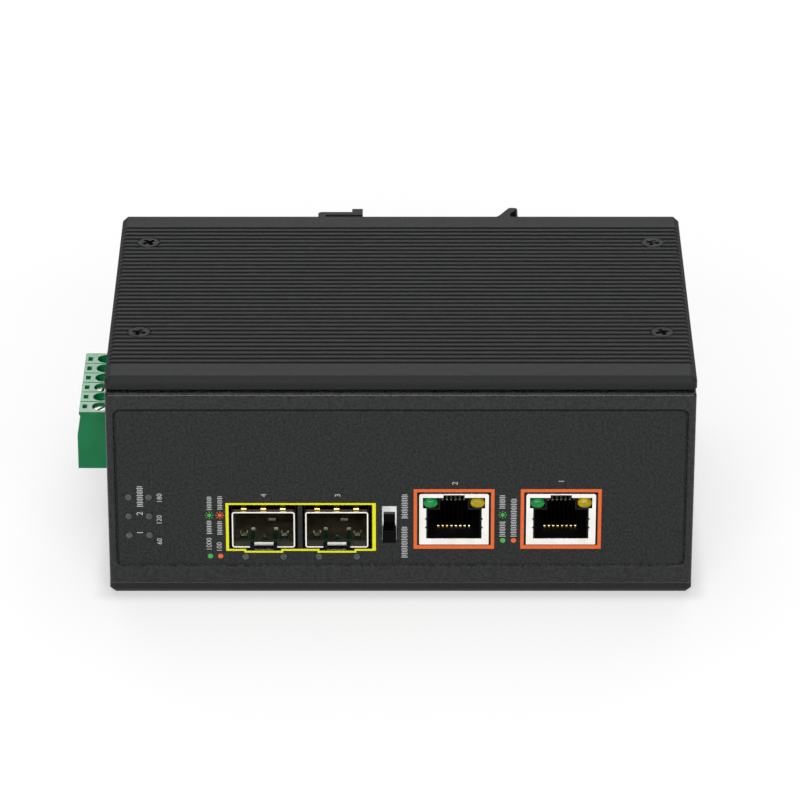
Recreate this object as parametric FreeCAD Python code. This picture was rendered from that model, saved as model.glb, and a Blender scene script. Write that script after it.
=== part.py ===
import FreeCAD, Part
import math
import os

# Industrial fibre media converter, lying on one of its two ribbed side panels.
# Millimetres. X runs along the long side of the front face, Y from the front face
# to the rail bracket, Z up. The origin is the centre of the face it lies on.

Vector = FreeCAD.Vector
along_x, along_y, along_z = Vector(1, 0, 0), Vector(0, 1, 0), Vector(0, 0, 1)

# Housing
housing_width = 135.4          # X
housing_depth = 89.0           # Y, front edge to back edge of the side panels
housing_height = 56.2          # Z, over both side panels
seam = 0.3                     # gap between neighbouring housing pieces

# Ribbed side panels, cut from extruded aluminium
panel_thickness = 3.0
panel_chamfer = 1.3
panel_corner_radius = 1.4      # stays above the chamfer
groove_pitch = 2.09
groove_width = 1.05
groove_depth = 0.65
flat_band = 7.1                # plain strip before the first groove and after the last

# Panel screws, M3 countersunk
screw_thread_radius = 1.5
screw_hole_clearance = 0.15
thread_gap = 0.05              # between a shank and its tapped hole
screw_head_radius = 2.7
screw_head_angle = 90.0
screw_length = 7.0
screw_from_end = 7.0
screw_from_front = 23.9
screw_from_back = 16.1

# Folded steel chassis
sheet = 1.2
sheet_bend_radius = 0.6        # inside radius
chassis_inset = 0.15           # end walls behind the panels' ends
rear_inset = 0.5               # rear wall behind the panels' back edge
flange_reach = 10.5
flange_relief = 4.0
thread_bush_radius = 2.6
thread_bush_length = 2.4       # beyond the flange

# Front bezel and its printed overlay
bezel_proud = 1.5              # bezel face in front of the panels' front edge
bezel_plate = 3.0
bezel_edge_radius = 0.8
bezel_skirt = 3.0              # end skirts and bosses behind the plate
pocket_margin_end = 1.95       # bezel edge to overlay pocket, left and right
pocket_low = 8.4
pocket_from_top = 7.7
pocket_depth = 0.5
pocket_radius = 1.5
pocket_draft = 0.45            # sloped wall round the pocket
overlay_thickness = 0.35
overlay_gap = 0.15
overlay_bevel = 0.25
boss_radius = 2.5
boss_from_end = 4.6
boss_low = 7.4
boss_from_top = 11.2
boss_root = 0.5                # how far a boss or skirt reaches into the plate
bezel_screw_radius = 1.25      # M2.5
bezel_screw_length = 4.5
ear_width = 9.0
ear_half_height = 3.2

# Main board
board_top = 13.15
board_thickness = 1.6
board_end_gap = 1.0
board_front_gap = 0.8
board_rear_gap = 1.2
board_corner_radius = 1.5
standoff_across_flats = 5.5
standoff_from_end = 18.5       # between the cages or jacks and what stands at the ends
standoff_behind_jacks = 5.0
standoff_from_back = 6.0
standoff_bore_depth = 4.5
board_screw_bite = 4.0         # below the board

# Copper ports (shielded jacks)
first_jack_centre = 37.0
jack_pitch = 24.69
jack_width = 16.05
jack_height = 13.2
jack_depth = 25.0
jack_stand_off = 0.7
shield_sheet = 0.3
mouth_margin = 0.8             # shield's mouth is wider than the cavity
shield_nick = 0.35
shield_nick_heights = (5.15, 7.4)    # above the board
port_clearance = 0.25
plug_cavity_width = 12.0
plug_cavity_height = 7.4
plug_cavity_depth = 14.5
cavity_floor = 1.55            # above the jack's base
latch_channel_width = 6.4
latch_notch_width = 4.9
latch_notch_height = 0.7
led_window_width = 3.5
led_window_height = 2.75
led_window_top = 1.0           # below the jack's top
led_side_bar = 0.85
led_depth = 6.0
led_gap = 0.1
led_bevel = 0.5
led_recess = 0.15              # lens face behind the jack's face
jack_foot = (2.5, 5.0)
jack_foot_spacing = 9.0
jack_nose_foot = (6.0, 2.5)
contact_count = 8
contact_pitch = 1.02
contact_width = 0.45
contact_thickness = 0.3
contact_start = 5.9            # behind the jack's face
contact_step = 0.35            # above the cavity floor, where a wire first bends
contact_rise = 2.6
contact_tail = 1.2
contact_tail_gap = 0.5

# Fibre ports (module cages)
cage_width = 14.55
cage_height = 9.3
cage_depth = 48.5
cage_spacing = 2.4             # between the two cages
cage_sheet = 0.3
cage_corner_radius = 0.6
cage_proud = 0.2
cage_opening_side_gap = 0.4
cage_opening_top_gap = 1.45
cage_opening_bottom_gap = 0.3
latch_tab_width = 4.4
latch_tab_depth = 9.2
latch_tab_setback = 2.0         # behind the cage's mouth
latch_lip = 0.8                 # height of the tab's turned-down front edge
latch_slit = 0.95
latch_hole = (3.0, 2.3)
latch_hole_from_mouth = 3.4
floor_window = (1.8, 4.0)       # under each floor spring
floor_spring_width = 1.2
floor_spring_spacing = 9.4
floor_spring_from_mouth = 3.6
floor_spring_height = 0.7
peep_hole = (1.75, 1.6)         # in the cage's floor, off its middle
peep_hole_shift = 1.6
peep_hole_from_mouth = 12.2
collar_sheet = 0.2
collar_gap = 0.05
collar_place = (0.9, 4.5)      # behind the cage's mouth
collar_side_start = 3.2
collar_low = 1.5               # above the board
latch_relief_width = 7.6
latch_relief_drop = 0.5
finger_width = 1.25
finger_spacing = 4.5
finger_height = 1.0
host_connector_width = 12.6
host_connector_height = 7.4
host_connector_depth = 10.0
host_connector_gap = 0.5
host_connector_bevel = 0.8
card_slot_end_wall = 1.0
card_slot_height = 1.5
card_slot_depth = 6.5

# Mode switch between the copper and fibre ports
switch_to_jack = 6.9
switch_to_cage = 1.87
switch_window_width = 3.4
switch_window_above_board = 0.95
switch_window_height = 9.7
switch_lip = 1.0               # bezel left in front of the switch
switch_gap = 0.2
switch_body_width = 6.0
switch_body_depth = 4.6
switch_shell_sheet = 0.4
switch_slot_width = 2.65
switch_stop = 0.8               # tab behind the slot's top that ends the travel
switch_stop_root = 0.25        # its overlap on the plate round the slot
switch_slot_above_window = 0.4
switch_bend_radius = 0.3
switch_base_gap = 0.05
switch_base_proud = 1.2
switch_track_depth = 2.2
switch_track_margin = 0.3
switch_foot = (2.0, 3.0)       # under the base, and behind it
knob_head_width = 3.2
knob_height = 3.1
knob_gap = 0.15
knob_proud = 0.6
knob_edge_radius = 0.3
knob_travel = 3.2

# Status lights
lens_radius = 0.8
lens_clearance = 0.12
status_from_end = (4.9, 9.6)
status_above_board = 3.05
status_row_pitch = 4.95
status_rows = 3
status_block_wall = 2.0
status_block_depth = 7.0
status_block_setback = 0.4     # behind the board's front edge
fibre_light_below_board = 2.6  # under the board's top
fibre_light_spacing = 8.8
fibre_light_shift = 0.2
fibre_pipe_length = 9.0
fibre_foot = 2.4

# Power terminal, six poles
poles = 6
pole_pitch = 5.08
terminal_centre = 9.79         # Y
plug_reach = 9.2               # beyond the housing's end
plug_end_wall = 0.5            # beyond the outer poles
plug_below_board = 0.35        # under the board's top
plug_height = 15.0
plug_body_length = 11.5
plug_top_inset = 0.5
plug_lip = (0.3, 1.0)          # undercut and height of the top edge's lip
plug_shoulder_drop = 6.2       # from the top to where the outer face is straight
nose_length = 7.4
nose_height = 6.6
nose_low = 1.5                 # above the plug's underside
clamp_hole_radius = 2.1
clamp_hole_from_end = 5.55
test_hole = (1.1, 1.95)
test_hole_from_end = 1.75
test_hole_depth = 3.0
pole_groove = 0.25
wire_entry = (3.6, 4.2)
socket_bore = 2.4
socket_gap = 0.2
socket_wall = 0.3
clamp_cage = (4.2, 3.4, 4.0)
clamp_cage_wall = 0.8
clamp_screw_height = 2.6
screw_slot = (0.6, 1.0)        # width and depth
header_wall = 0.9
header_length = 12.0
header_gap = 0.2
pin_size = 1.0
pin_hole_radius = 0.8
pin_recess = 1.6               # pin's point behind the header's mouth
pin_bend_radius = 0.4
pin_tail_from_end = 2.0
pin_tail_reach = 1.5           # below the board
plug_opening_gap = 0.4

# Rail bracket on the rear wall, an aluminium extrusion
bracket_low = 3.2
bracket_left = -20.2
bracket_right = 28.7
bracket_base = 3.0
bracket_chamfer = 0.6
hook_slot = 4.3
hook_bar = 1.6
hook_tip = -9.3
hook_slot_end = -18.4
hook_tab_width = 2.6
hook_tab_height = 1.8
catch_notch = 1.5
catch_tip = 22.0
catch_root = 24.0
catch_height = 8.3             # beyond the base
catch_flat = 2.0
catch_wall = 0.4
catch_hollow = (1.4, 1.0, 5.1, 7.1)  # width, then heights above the base
bracket_screw_spacing_x = 19.0
bracket_screw_spacing_z = 28.0
bracket_screw_centre = 6.3
bracket_screw_end = 1.0        # beyond the rear wall
spring_wire_radius = 0.7
spring_from_end = 7.9          # from each end of the bracket
spring_slope = 22.0           # of the bow at its ends, degrees
spring_turn_radius = 1.6
spring_leg_x = -14.9
spring_travel = 2.5
spring_slot_clearance = 0.3
spring_slot_floor = 0.8        # left between a slot's bottom and the rear wall
spring_foot_gap = 0.2

# Network chip and the heat path below it. Places are X and the distance from the board's back.
chip_place = (2.0, 23.0)
chip_size = (14.0, 1.4)
heat_block_size = 24.0
pad_thickness = 0.5
pad_margin = 1.0

# Power supply parts on the board
transformer_place = (28.0, 29.5)
core_size = (26.0, 22.0, 22.0)
core_leg = 4.0                 # outer legs and yokes; the middle leg is twice as wide
core_window = 5.0
core_lift = 1.0
winding_gap = 0.2
winding_overhang = 3.0
winding_foot = (12.0, 2.5)
inductor_places = ((2.0, 8.0), (20.0, 8.0))
inductor_size = (12.0, 8.0)
inductor_corner_radius = 2.0
output_can_places = ((-34.0, 7.1), (-34.0, 18.6))
input_can_place = (52.0, 15.0)                   # X, and distance behind the jacks
can_radius = 5.0
can_height = 20.0
power_chip_place = (48.0, 21.6)
power_chip_size = (9.0, 1.2)

# Worked out from the sizes above
half_width = housing_width / 2
pocket_high = housing_height - pocket_from_top
boss_high = housing_height - boss_from_top
panel_front = -housing_depth / 2
panel_back = housing_depth / 2
inner_low = panel_thickness
inner_high = housing_height - panel_thickness
chassis_end = half_width - chassis_inset
rear_face = panel_back - rear_inset
rear_inside = rear_face - sheet
bezel_face = panel_front - bezel_proud
bezel_back = bezel_face + bezel_plate
ear_face = bezel_back + bezel_skirt
overlay_face = bezel_face + pocket_depth - overlay_thickness
overlay_back = bezel_face + pocket_depth
board_low = board_top - board_thickness
board_front = bezel_back + board_front_gap
board_back = rear_inside - board_rear_gap
status_block_front = board_front + status_block_setback
board_end = chassis_end - sheet - board_end_gap
screw_x = half_width - screw_from_end
screw_y = (panel_front + screw_from_front, panel_back - screw_from_back)
jack_low = board_top + jack_stand_off
jack_face = bezel_face
jack_centres = {"port_1": first_jack_centre, "port_2": first_jack_centre - jack_pitch}
switch_centre = jack_centres["port_2"] - jack_width / 2 - switch_to_jack
switch_window_low = board_top + switch_window_above_board
switch_window_high = switch_window_low + switch_window_height
cage_face = bezel_face - cage_proud
first_cage_centre = switch_centre - switch_body_width / 2 - switch_to_cage - cage_width / 2
cage_centres = {"port_3": first_cage_centre,
                "port_4": first_cage_centre - cage_width - cage_spacing}
status_columns = [distance - half_width for distance in status_from_end]
status_low_row = board_top + status_above_board
fibre_light_height = board_top - fibre_light_below_board
terminal_length = poles * pole_pitch + 2 * plug_end_wall
terminal_front = terminal_centre - terminal_length / 2
terminal_back = terminal_front + terminal_length
plug_outer_end = -half_width - plug_reach
plug_low = board_top - plug_below_board
first_pole = terminal_front + plug_end_wall + pole_pitch / 2
pole_places = [first_pole + pole_pitch * i for i in range(poles)]
plug_shoulder = plug_outer_end + plug_body_length
nose_end = plug_shoulder + nose_length
header_mouth = plug_shoulder + header_gap
pin_height = plug_low + nose_low + nose_height / 2
bracket_seat = rear_face + bracket_base
bracket_high = housing_height - bracket_low


def block(x, y, z):
    """Box between three (low, high) pairs."""
    return Part.makeBox(x[1] - x[0], y[1] - y[0], z[1] - z[0], Vector(x[0], y[0], z[0]))


def centred(middle, size):
    """(low, high) pair of a given size about a middle."""
    return middle - size / 2, middle + size / 2


def rod(radius, x, y, z, axis, length):
    return Part.makeCylinder(radius, length, Vector(x, y, z), axis)


def single(shape):
    """The bare solid, where a result holds only one."""
    return shape.Solids[0] if len(shape.Solids) == 1 else shape


def joined(shapes):
    """Fuse touching shapes into one clean solid."""
    return single(shapes[0].fuse(shapes[1:]).removeSplitter())


def without(shape, tools):
    """Cut a list of tools out of a shape."""
    return single(shape.cut(tools))


def straight_edges(shape, axis):
    found = []
    for edge in shape.Edges:
        if isinstance(edge.Curve, Part.Line) and edge.Curve.Direction.cross(axis).Length < 1e-6:
            found.append(edge)
    return found


def rounded(shape, axis, radius, where=None):
    """Fillet the straight edges along an axis, or those of them that pass a test."""
    edges = [e for e in straight_edges(shape, axis) if where is None or where(e.CenterOfMass)]
    return single(shape.makeFillet(radius, edges))


def bevelled(shape, size, edges):
    return single(shape.makeChamfer(size, edges))


def outline(points):
    """Face inside a closed polygon."""
    return Part.Face(Part.makePolygon([Vector(*p) for p in points + points[:1]]))


def folded_strip(points, normal, thickness, inside_radius, run):
    """Sheet folded along the polyline through the middle of its thickness, as long as run."""
    points = [Vector(*p) for p in points]
    radius = inside_radius + thickness / 2
    half = thickness / 2
    directions = [(b - a).normalize() for a, b in zip(points, points[1:])]
    sides = {1: [], -1: []}
    ends = {}
    for side in sides:
        start = points[0] + normal.cross(directions[0]) * (side * half)
        ends[side] = [start]
        for corner, before, after in zip(points[1:], directions, directions[1:]):
            turn = normal.dot(before.cross(after))
            left = 1 if turn > 0 else -1
            angle = before.getAngle(after)
            reach = radius * math.tan(angle / 2)
            entry, leave = corner - before * reach, corner + after * reach
            centre = entry + normal.cross(before) * (left * radius)
            crown = centre + (corner - centre).normalize() * radius
            share = (radius - left * side * half) / radius
            bend = [centre + (p - centre) * share for p in (entry, crown, leave)]
            sides[side].append(Part.LineSegment(start, bend[0]).toShape())
            sides[side].append(Part.Arc(*bend).toShape())
            start = bend[2]
        finish = points[-1] + normal.cross(directions[-1]) * (side * half)
        sides[side].append(Part.LineSegment(start, finish).toShape())
        ends[side].append(finish)
    caps = [Part.LineSegment(ends[1][i], ends[-1][i]).toShape() for i in (0, 1)]
    wire = Part.Wire(Part.__sortEdges__(sides[1] + sides[-1] + caps))
    return Part.Face(wire).extrude(run)


def hexagon(across_flats, x, y, low, length):
    corner = across_flats / math.sqrt(3)
    angles = [math.radians(60 * i + 30) for i in range(6)]
    points = [(x + corner * math.cos(a), y + corner * math.sin(a), low) for a in angles]
    return outline(points).extrude(Vector(0, 0, length))


# Side panels

def groove_places():
    room = housing_depth - 2 * flat_band - groove_width
    count = int(room / groove_pitch) + 1
    first = -groove_pitch * (count - 1) / 2
    return [first + groove_pitch * i for i in range(count)]


def countersink(start, direction, depth):
    """Screw hole with a cone for a flush head, entering along direction."""
    mouth = screw_head_radius + screw_hole_clearance
    hole = screw_thread_radius + screw_hole_clearance
    cone_depth = (mouth - hole) / math.tan(math.radians(screw_head_angle / 2))
    cone = Part.makeCone(mouth, hole, cone_depth, start, direction)
    return cone.fuse(Part.makeCylinder(hole, depth, start, direction))


def ribbed_panel():
    """Upper panel: ribs run along X and stop in the chamfer at each end."""
    x, y = (-half_width, half_width), (panel_front, panel_back)
    panel = block(x, y, (inner_high, housing_height))
    panel = rounded(panel, along_z, panel_corner_radius)
    top = [e for e in panel.Edges if e.BoundBox.ZMin > housing_height - 0.01]
    panel = bevelled(panel, panel_chamfer, top)
    groove_z = (housing_height - groove_depth, housing_height + 1)
    ends = (-half_width - 1, half_width + 1)
    cuts = [block(ends, centred(place, groove_width), groove_z) for place in groove_places()]
    cuts += [countersink(Vector(sign * screw_x, place, housing_height), Vector(0, 0, -1),
                         panel_thickness + 1) for sign in (-1, 1) for place in screw_y]
    return without(panel, cuts)


def flipped(shape):
    """The same piece on the other side of the housing."""
    return shape.mirror(Vector(0, 0, housing_height / 2), along_z)


def lower_panel():
    """The upper panel's mirror image, with threaded holes for the board's standoffs."""
    blind = [rod(screw_thread_radius, x, y, panel_thickness / 2, along_z, panel_thickness)
             for x, y in standoff_places()]
    return without(flipped(ribbed_panel()), blind)


def flush_screw(start, direction, length):
    """Countersunk screw whose head is flush at start; the shank runs along direction."""
    depth = (screw_head_radius - screw_thread_radius) / math.tan(
        math.radians(screw_head_angle / 2))
    head = Part.makeCone(screw_head_radius, screw_thread_radius, depth, start, direction)
    shank = Part.makeCylinder(screw_thread_radius - thread_gap, length, start, direction)
    return joined([head, shank])


def panel_screws():
    """The four screws of the upper panel."""
    down = Vector(0, 0, -1)
    return Part.makeCompound([flush_screw(Vector(sign * screw_x, y, housing_height), down,
                                          screw_length) for sign in (-1, 1) for y in screw_y])


# Chassis

def chassis_frame():
    """One folded sheet: rear wall, two end walls, ears for the bezel, flanges for the panels."""
    middle_x, middle_y = chassis_end - sheet / 2, rear_face - sheet / 2
    ear_y = ear_face + sheet / 2
    height = inner_high - inner_low
    plan = [(-chassis_end + ear_width, ear_y, inner_low), (-middle_x, ear_y, inner_low),
            (-middle_x, middle_y, inner_low), (middle_x, middle_y, inner_low),
            (middle_x, ear_y, inner_low), (chassis_end - ear_width, ear_y, inner_low)]
    wrap = folded_strip(plan, along_z, sheet, sheet_bend_radius, Vector(0, 0, height))
    bend = sheet + sheet_bend_radius
    flange_y = (ear_face + flange_relief, rear_face - flange_relief)
    cuts = ear_windows(bend) + flange_windows(flange_y, bend)
    frame = without(wrap, cuts + [terminal_window()])
    for sign in (-1, 1):
        frame = frame.fuse(end_channel(sign, flange_y))
    frame = joined([frame] + thread_bushes(sheet))
    return without(frame, thread_holes() + bracket_holes() + ear_holes() + [terminal_window()])


def ear_windows(bend):
    """What is taken off the front edge of the end walls to leave four ears."""
    windows = []
    y = (ear_face - 1, ear_face + bend)
    spans = ((inner_low - 1, boss_low - ear_half_height),
             (boss_low + ear_half_height, boss_high - ear_half_height),
             (boss_high + ear_half_height, inner_high + 1))
    for low, high in spans:
        for sign in (-1, 1):
            x = sorted((sign * (chassis_end - sheet), sign * (chassis_end - ear_width - 1)))
            windows.append(block(x, y, (low, high)))
            corner = sorted((sign * (chassis_end + 1), sign * (chassis_end - bend)))
            windows.append(block(corner, (y[0], ear_face), (low, high)))
    return windows


def flange_windows(flange_y, bend):
    windows = []
    for sign in (-1, 1):
        x = sorted((sign * (chassis_end + 1), sign * (chassis_end - sheet - 0.01)))
        windows.append(block(x, flange_y, (inner_low - 1, inner_low + bend)))
        windows.append(block(x, flange_y, (inner_high - bend, inner_high + 1)))
    return windows


def end_channel(sign, flange_y):
    """End wall with a flange folded in under each side panel."""
    wall, reach = sign * (chassis_end - sheet / 2), sign * (chassis_end - flange_reach)
    low, high = inner_low + sheet / 2, inner_high - sheet / 2
    points = [(reach, flange_y[0], low), (wall, flange_y[0], low),
              (wall, flange_y[0], high), (reach, flange_y[0], high)]
    run = Vector(0, flange_y[1] - flange_y[0], 0)
    channel = folded_strip(points, along_y, sheet, sheet_bend_radius, run)
    return without(channel, [terminal_window()]) if sign < 0 else channel


def terminal_window():
    """Cut-out in the left end wall for the power plug."""
    x = (-chassis_end - 1, -chassis_end + sheet + 0.5)
    y = (terminal_front - plug_opening_gap, terminal_back + plug_opening_gap)
    z = (plug_low - plug_opening_gap, plug_low + plug_height + plug_opening_gap)
    return block(x, y, z)


def thread_bushes(overlap):
    """Pressed-in bushes on the flanges, one for each panel screw."""
    length = thread_bush_length + overlap
    bushes = []
    for sign in (-1, 1):
        for y in screw_y:
            bushes.append(rod(thread_bush_radius, sign * screw_x, y, inner_low, along_z, length))
            bushes.append(rod(thread_bush_radius, sign * screw_x, y, inner_high,
                              Vector(0, 0, -1), length))
    return bushes


def thread_holes():
    span = thread_bush_length + sheet + 2
    holes = []
    for sign in (-1, 1):
        for y in screw_y:
            for z in (inner_low - 1, inner_high - span + 1):
                holes.append(rod(screw_thread_radius, sign * screw_x, y, z, along_z, span))
    return holes


def boss_places():
    x = chassis_end - boss_from_end
    return [(sign * x, z) for sign in (-1, 1) for z in (boss_low, boss_high)]


def ear_holes():
    radius = bezel_screw_radius + screw_hole_clearance
    return [rod(radius, x, ear_face - 1, z, along_y, sheet + 2) for x, z in boss_places()]


def bracket_screw_places():
    middle_z = housing_height / 2
    return [(bracket_screw_centre + i * bracket_screw_spacing_x / 2,
             middle_z + j * bracket_screw_spacing_z / 2) for i in (-1, 1) for j in (-1, 1)]


def bracket_holes():
    return [rod(screw_thread_radius, x, rear_inside - 1, z, along_y, sheet + 2)
            for x, z in bracket_screw_places()]


# Front bezel and overlay

def jack_opening(centre, y, gap):
    x = centred(centre, jack_width + 2 * gap)
    return block(x, y, (jack_low - gap, jack_low + jack_height + gap))


def cage_opening(centre, y, gap):
    """Rectangle for the cage and its spring fingers, with a relief under the latch tab."""
    low = board_top - cage_opening_bottom_gap - gap
    high = board_top + cage_height + cage_opening_top_gap + gap
    width = cage_width + 2 * (cage_opening_side_gap + gap)
    hole = block(centred(centre, width), y, (low, high))
    relief = block(centred(centre, latch_relief_width + 2 * gap), y,
                   (low - latch_relief_drop, low + 1))
    return hole.fuse(relief)


def status_places():
    rows = [status_low_row + status_row_pitch * i for i in range(status_rows)]
    return [(x, z) for x in status_columns for z in rows]


def fibre_light_places():
    return [(centre + fibre_light_shift + side * fibre_light_spacing / 2, fibre_light_height)
            for centre in cage_centres.values() for side in (-1, 1)]


def light_holes(y):
    radius = lens_radius + lens_clearance
    return [rod(radius, x, y[0], z, along_y, y[1] - y[0])
            for x, z in status_places() + fibre_light_places()]


def switch_window(y):
    return block(centred(switch_centre, switch_window_width), y,
                 (switch_window_low, switch_window_high))


def port_cuts(y, gap):
    cuts = [jack_opening(centre, y, gap) for centre in jack_centres.values()]
    cuts += [cage_opening(centre, y, gap) for centre in cage_centres.values()]
    return cuts + [switch_window(y)] + light_holes(y)


def pocket_outline(inset, y):
    """Rounded rectangle of the overlay pocket, drawn in by inset."""
    end = chassis_end - pocket_margin_end - inset
    plate = block((-end, end), y, (pocket_low + inset, pocket_high - inset))
    return rounded(plate, along_y, pocket_radius - inset)


def outline_edges(body, y):
    """Edges at one depth that follow the pocket's outline."""
    pocket = pocket_outline(-overlay_gap, (y - 1, y + 1)).BoundBox
    return [e for e in body.Edges if abs(e.BoundBox.YMin - y) + abs(e.BoundBox.YMax - y) < 0.01
            and pocket.isInside(e.CenterOfMass)]


def switch_body_z():
    """The switch stands on the board and reaches as far above its window as below it."""
    return board_top, switch_window_high + switch_window_low - board_top


def front_bezel():
    """Cast plate with rounded edges, a pocket for the overlay, end skirts and four bosses."""
    z = (inner_low + seam, inner_high - seam)
    plate = block((-chassis_end, chassis_end), (bezel_face, bezel_back), z)
    ends = []
    for sign in (-1, 1):
        x = sorted((sign * chassis_end, sign * (chassis_end - sheet)))
        ends.append(block(x, (bezel_back - boss_root, ear_face), z))
    body = joined([plate] + ends)
    body = rounded(body, along_z, bezel_edge_radius, lambda p: p.y < bezel_face + 0.1)
    body = rounded(body, along_x, bezel_edge_radius, lambda p: p.y < bezel_face + 0.1)
    bosses = [rod(boss_radius, x, bezel_back - boss_root, zz, along_y, bezel_skirt + boss_root)
              for x, zz in boss_places()]
    body = joined([body] + bosses)
    cuts = [pocket_outline(0, (bezel_face - 1, overlay_back))]
    cuts += port_cuts((bezel_face - 1, bezel_back + 1), port_clearance)
    low, high = switch_body_z()
    cuts.append(block(centred(switch_centre, switch_body_width + 2 * switch_gap),
                      (bezel_face + switch_lip, bezel_back + 1),
                      (low - switch_gap, high + switch_gap)))
    tapped_from = ear_face + sheet - bezel_screw_length - seam
    cuts += [rod(bezel_screw_radius, x, tapped_from, zz, along_y, bezel_screw_length)
             for x, zz in boss_places()]
    body = without(body, cuts)
    return bevelled(body, pocket_draft, outline_edges(body, bezel_face))


def front_overlay():
    film = pocket_outline(overlay_gap, (overlay_face, overlay_back))
    film = bevelled(film, overlay_bevel, outline_edges(film, overlay_face))
    return without(film, port_cuts((overlay_face - 1, overlay_back + 1), port_clearance))


def cap_screw(start, direction, thread_radius, length):
    """Cylinder-head screw whose head bears on start; the shank runs along direction."""
    head_height, head_radius = 1.3 * thread_radius, 1.9 * thread_radius
    head = Part.makeCylinder(head_radius, head_height, start - direction * head_height, direction)
    shank = Part.makeCylinder(thread_radius, length, start, direction)
    return joined([head, shank])


def bezel_screws():
    back = Vector(0, -1, 0)
    return Part.makeCompound([cap_screw(Vector(x, ear_face + sheet, z), back, bezel_screw_radius,
                                        bezel_screw_length) for x, z in boss_places()])


# Main board and what stands on it

def standoff_places():
    x = half_width - standoff_from_end
    y = (jack_face + jack_depth + standoff_behind_jacks, board_back - standoff_from_back)
    return [(sign * x, place) for sign in (-1, 1) for place in y]


def main_board():
    board = block((-board_end, board_end), (board_front, board_back), (board_low, board_top))
    board = rounded(board, along_z, board_corner_radius)
    radius = screw_thread_radius + screw_hole_clearance
    holes = [(radius, x, y) for x, y in standoff_places()]
    holes += [(pin_hole_radius, pin_tail(), y) for y in pole_places]
    return without(board, [rod(r, x, y, board_low - 1, along_z, board_thickness + 2)
                           for r, x, y in holes])


def board_standoffs():
    """Hexagonal pillars screwed into the lower panel."""
    pillars = []
    for x, y in standoff_places():
        body = hexagon(standoff_across_flats, x, y, inner_low, board_low - inner_low)
        stud = rod(screw_thread_radius, x, y, panel_thickness / 2, along_z, panel_thickness / 2)
        bore = rod(screw_thread_radius, x, y, board_low - standoff_bore_depth, along_z,
                   standoff_bore_depth + 1)
        pillars.append(joined([body, stud]).cut(bore))
    return Part.makeCompound(pillars)


def board_screws():
    down = Vector(0, 0, -1)
    return Part.makeCompound([cap_screw(Vector(x, y, board_top), down, screw_thread_radius,
                                        board_thickness + board_screw_bite)
                              for x, y in standoff_places()])


def jack_shield(centre):
    """Drawn steel can: open below and behind, with the port cut in its front."""
    x, z = centred(centre, jack_width), (jack_low, jack_low + jack_height)
    y = (jack_face, jack_face + jack_depth)
    can = rounded(block(x, y, z), along_y, 0.5, lambda p: p.z > jack_low + 1)
    t = shield_sheet
    hollow = block((x[0] + t, x[1] - t), (y[0] + t, y[1] - t), (z[0] - 1, z[1] - t))
    top = z[1] - led_window_top
    face_y = (y[0] - 1, y[0] + t + 0.5)
    mouth_z = (z[0] + cavity_floor, top - led_window_height + 0.1)
    mouth = block(centred(centre, plug_cavity_width + mouth_margin), face_y, mouth_z)
    windows = block(centred(centre, jack_width - 2 * led_side_bar), face_y,
                    (top - led_window_height, top))
    notch = block(centred(centre, latch_notch_width), face_y,
                  (top - 0.1, top + latch_notch_height))
    return without(can, [hollow, mouth, windows, notch] + shield_nicks(centre, face_y))


def shield_nicks(centre, y):
    """Small V cuts in both sides of the mouth that free a sprung tab between them."""
    nicks = []
    for side in (-1, 1):
        edge = centre + side * (plug_cavity_width + mouth_margin) / 2
        for z in (board_top + height for height in shield_nick_heights):
            points = [(edge - side, y[0], z - 1 - shield_nick / 2),
                      (edge + side * shield_nick, y[0], z),
                      (edge - side, y[0], z + 1 + shield_nick / 2)]
            nicks.append(outline(points).extrude(Vector(0, y[1] - y[0], 0)))
    return nicks


def jack_insert(centre):
    """Moulded body inside the can, with the plug cavity, latch channel and light pockets."""
    t, gap = shield_sheet, 0.05
    half = jack_width / 2 - t - gap
    y = (jack_face + t + gap, jack_face + jack_depth - t - gap)
    body = block((centre - half, centre + half), y, (jack_low, jack_low + jack_height - t - gap))
    feet = [block(centred(centre + side * jack_foot_spacing / 2, jack_foot[0]),
                  centred(y[1] - jack_foot[1], jack_foot[1]), (board_top, jack_low))
            for side in (-1, 1)]
    feet.append(block(centred(centre, jack_nose_foot[0]),
                      (board_front, board_front + jack_nose_foot[1]), (board_top, jack_low)))
    floor = jack_low + cavity_floor
    deep = (y[0] - 1, jack_face + plug_cavity_depth)
    cavity = block(centred(centre, plug_cavity_width), deep, (floor, floor + plug_cavity_height))
    top = jack_low + jack_height - led_window_top
    channel = block(centred(centre, latch_channel_width), deep,
                    (floor + plug_cavity_height - 0.1, top + latch_notch_height))
    cuts = [cavity, channel]
    for side in (-1, 1):
        place = centre + side * light_offset()
        cuts.append(block(centred(place, led_window_width), (y[0] - 1, jack_face + led_depth),
                          (top - led_window_height, top)))
    groove = contact_width + 0.2
    slots = [block(centred(place, groove), (jack_face + contact_start - 0.3, deep[1]),
                   (floor - groove, floor + 0.1)) for place in contact_places(centre)]
    return without(joined([body] + feet), cuts + slots)


def light_offset():
    return jack_width / 2 - led_side_bar - led_window_width / 2


def contact_places(centre):
    middle = (contact_count - 1) / 2
    return [centre + contact_pitch * (i - middle) for i in range(contact_count)]


def jack_contacts(centre):
    """Eight sprung wires that stand in the floor's slots, slope back and turn up behind."""
    floor = jack_low + cavity_floor
    foot, step, high = floor - contact_width, floor + contact_step, floor + contact_rise
    start, back = jack_face + contact_start, jack_face + plug_cavity_depth - contact_tail_gap
    wires = []
    for place in contact_places(centre):
        x = place - contact_width / 2
        points = [(x, start, foot), (x, start, step), (x, back, high),
                  (x, back, high + contact_tail)]
        wires.append(folded_strip(points, along_x, contact_thickness, contact_thickness,
                                  Vector(contact_width, 0, 0)))
    return Part.makeCompound(wires)


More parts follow.
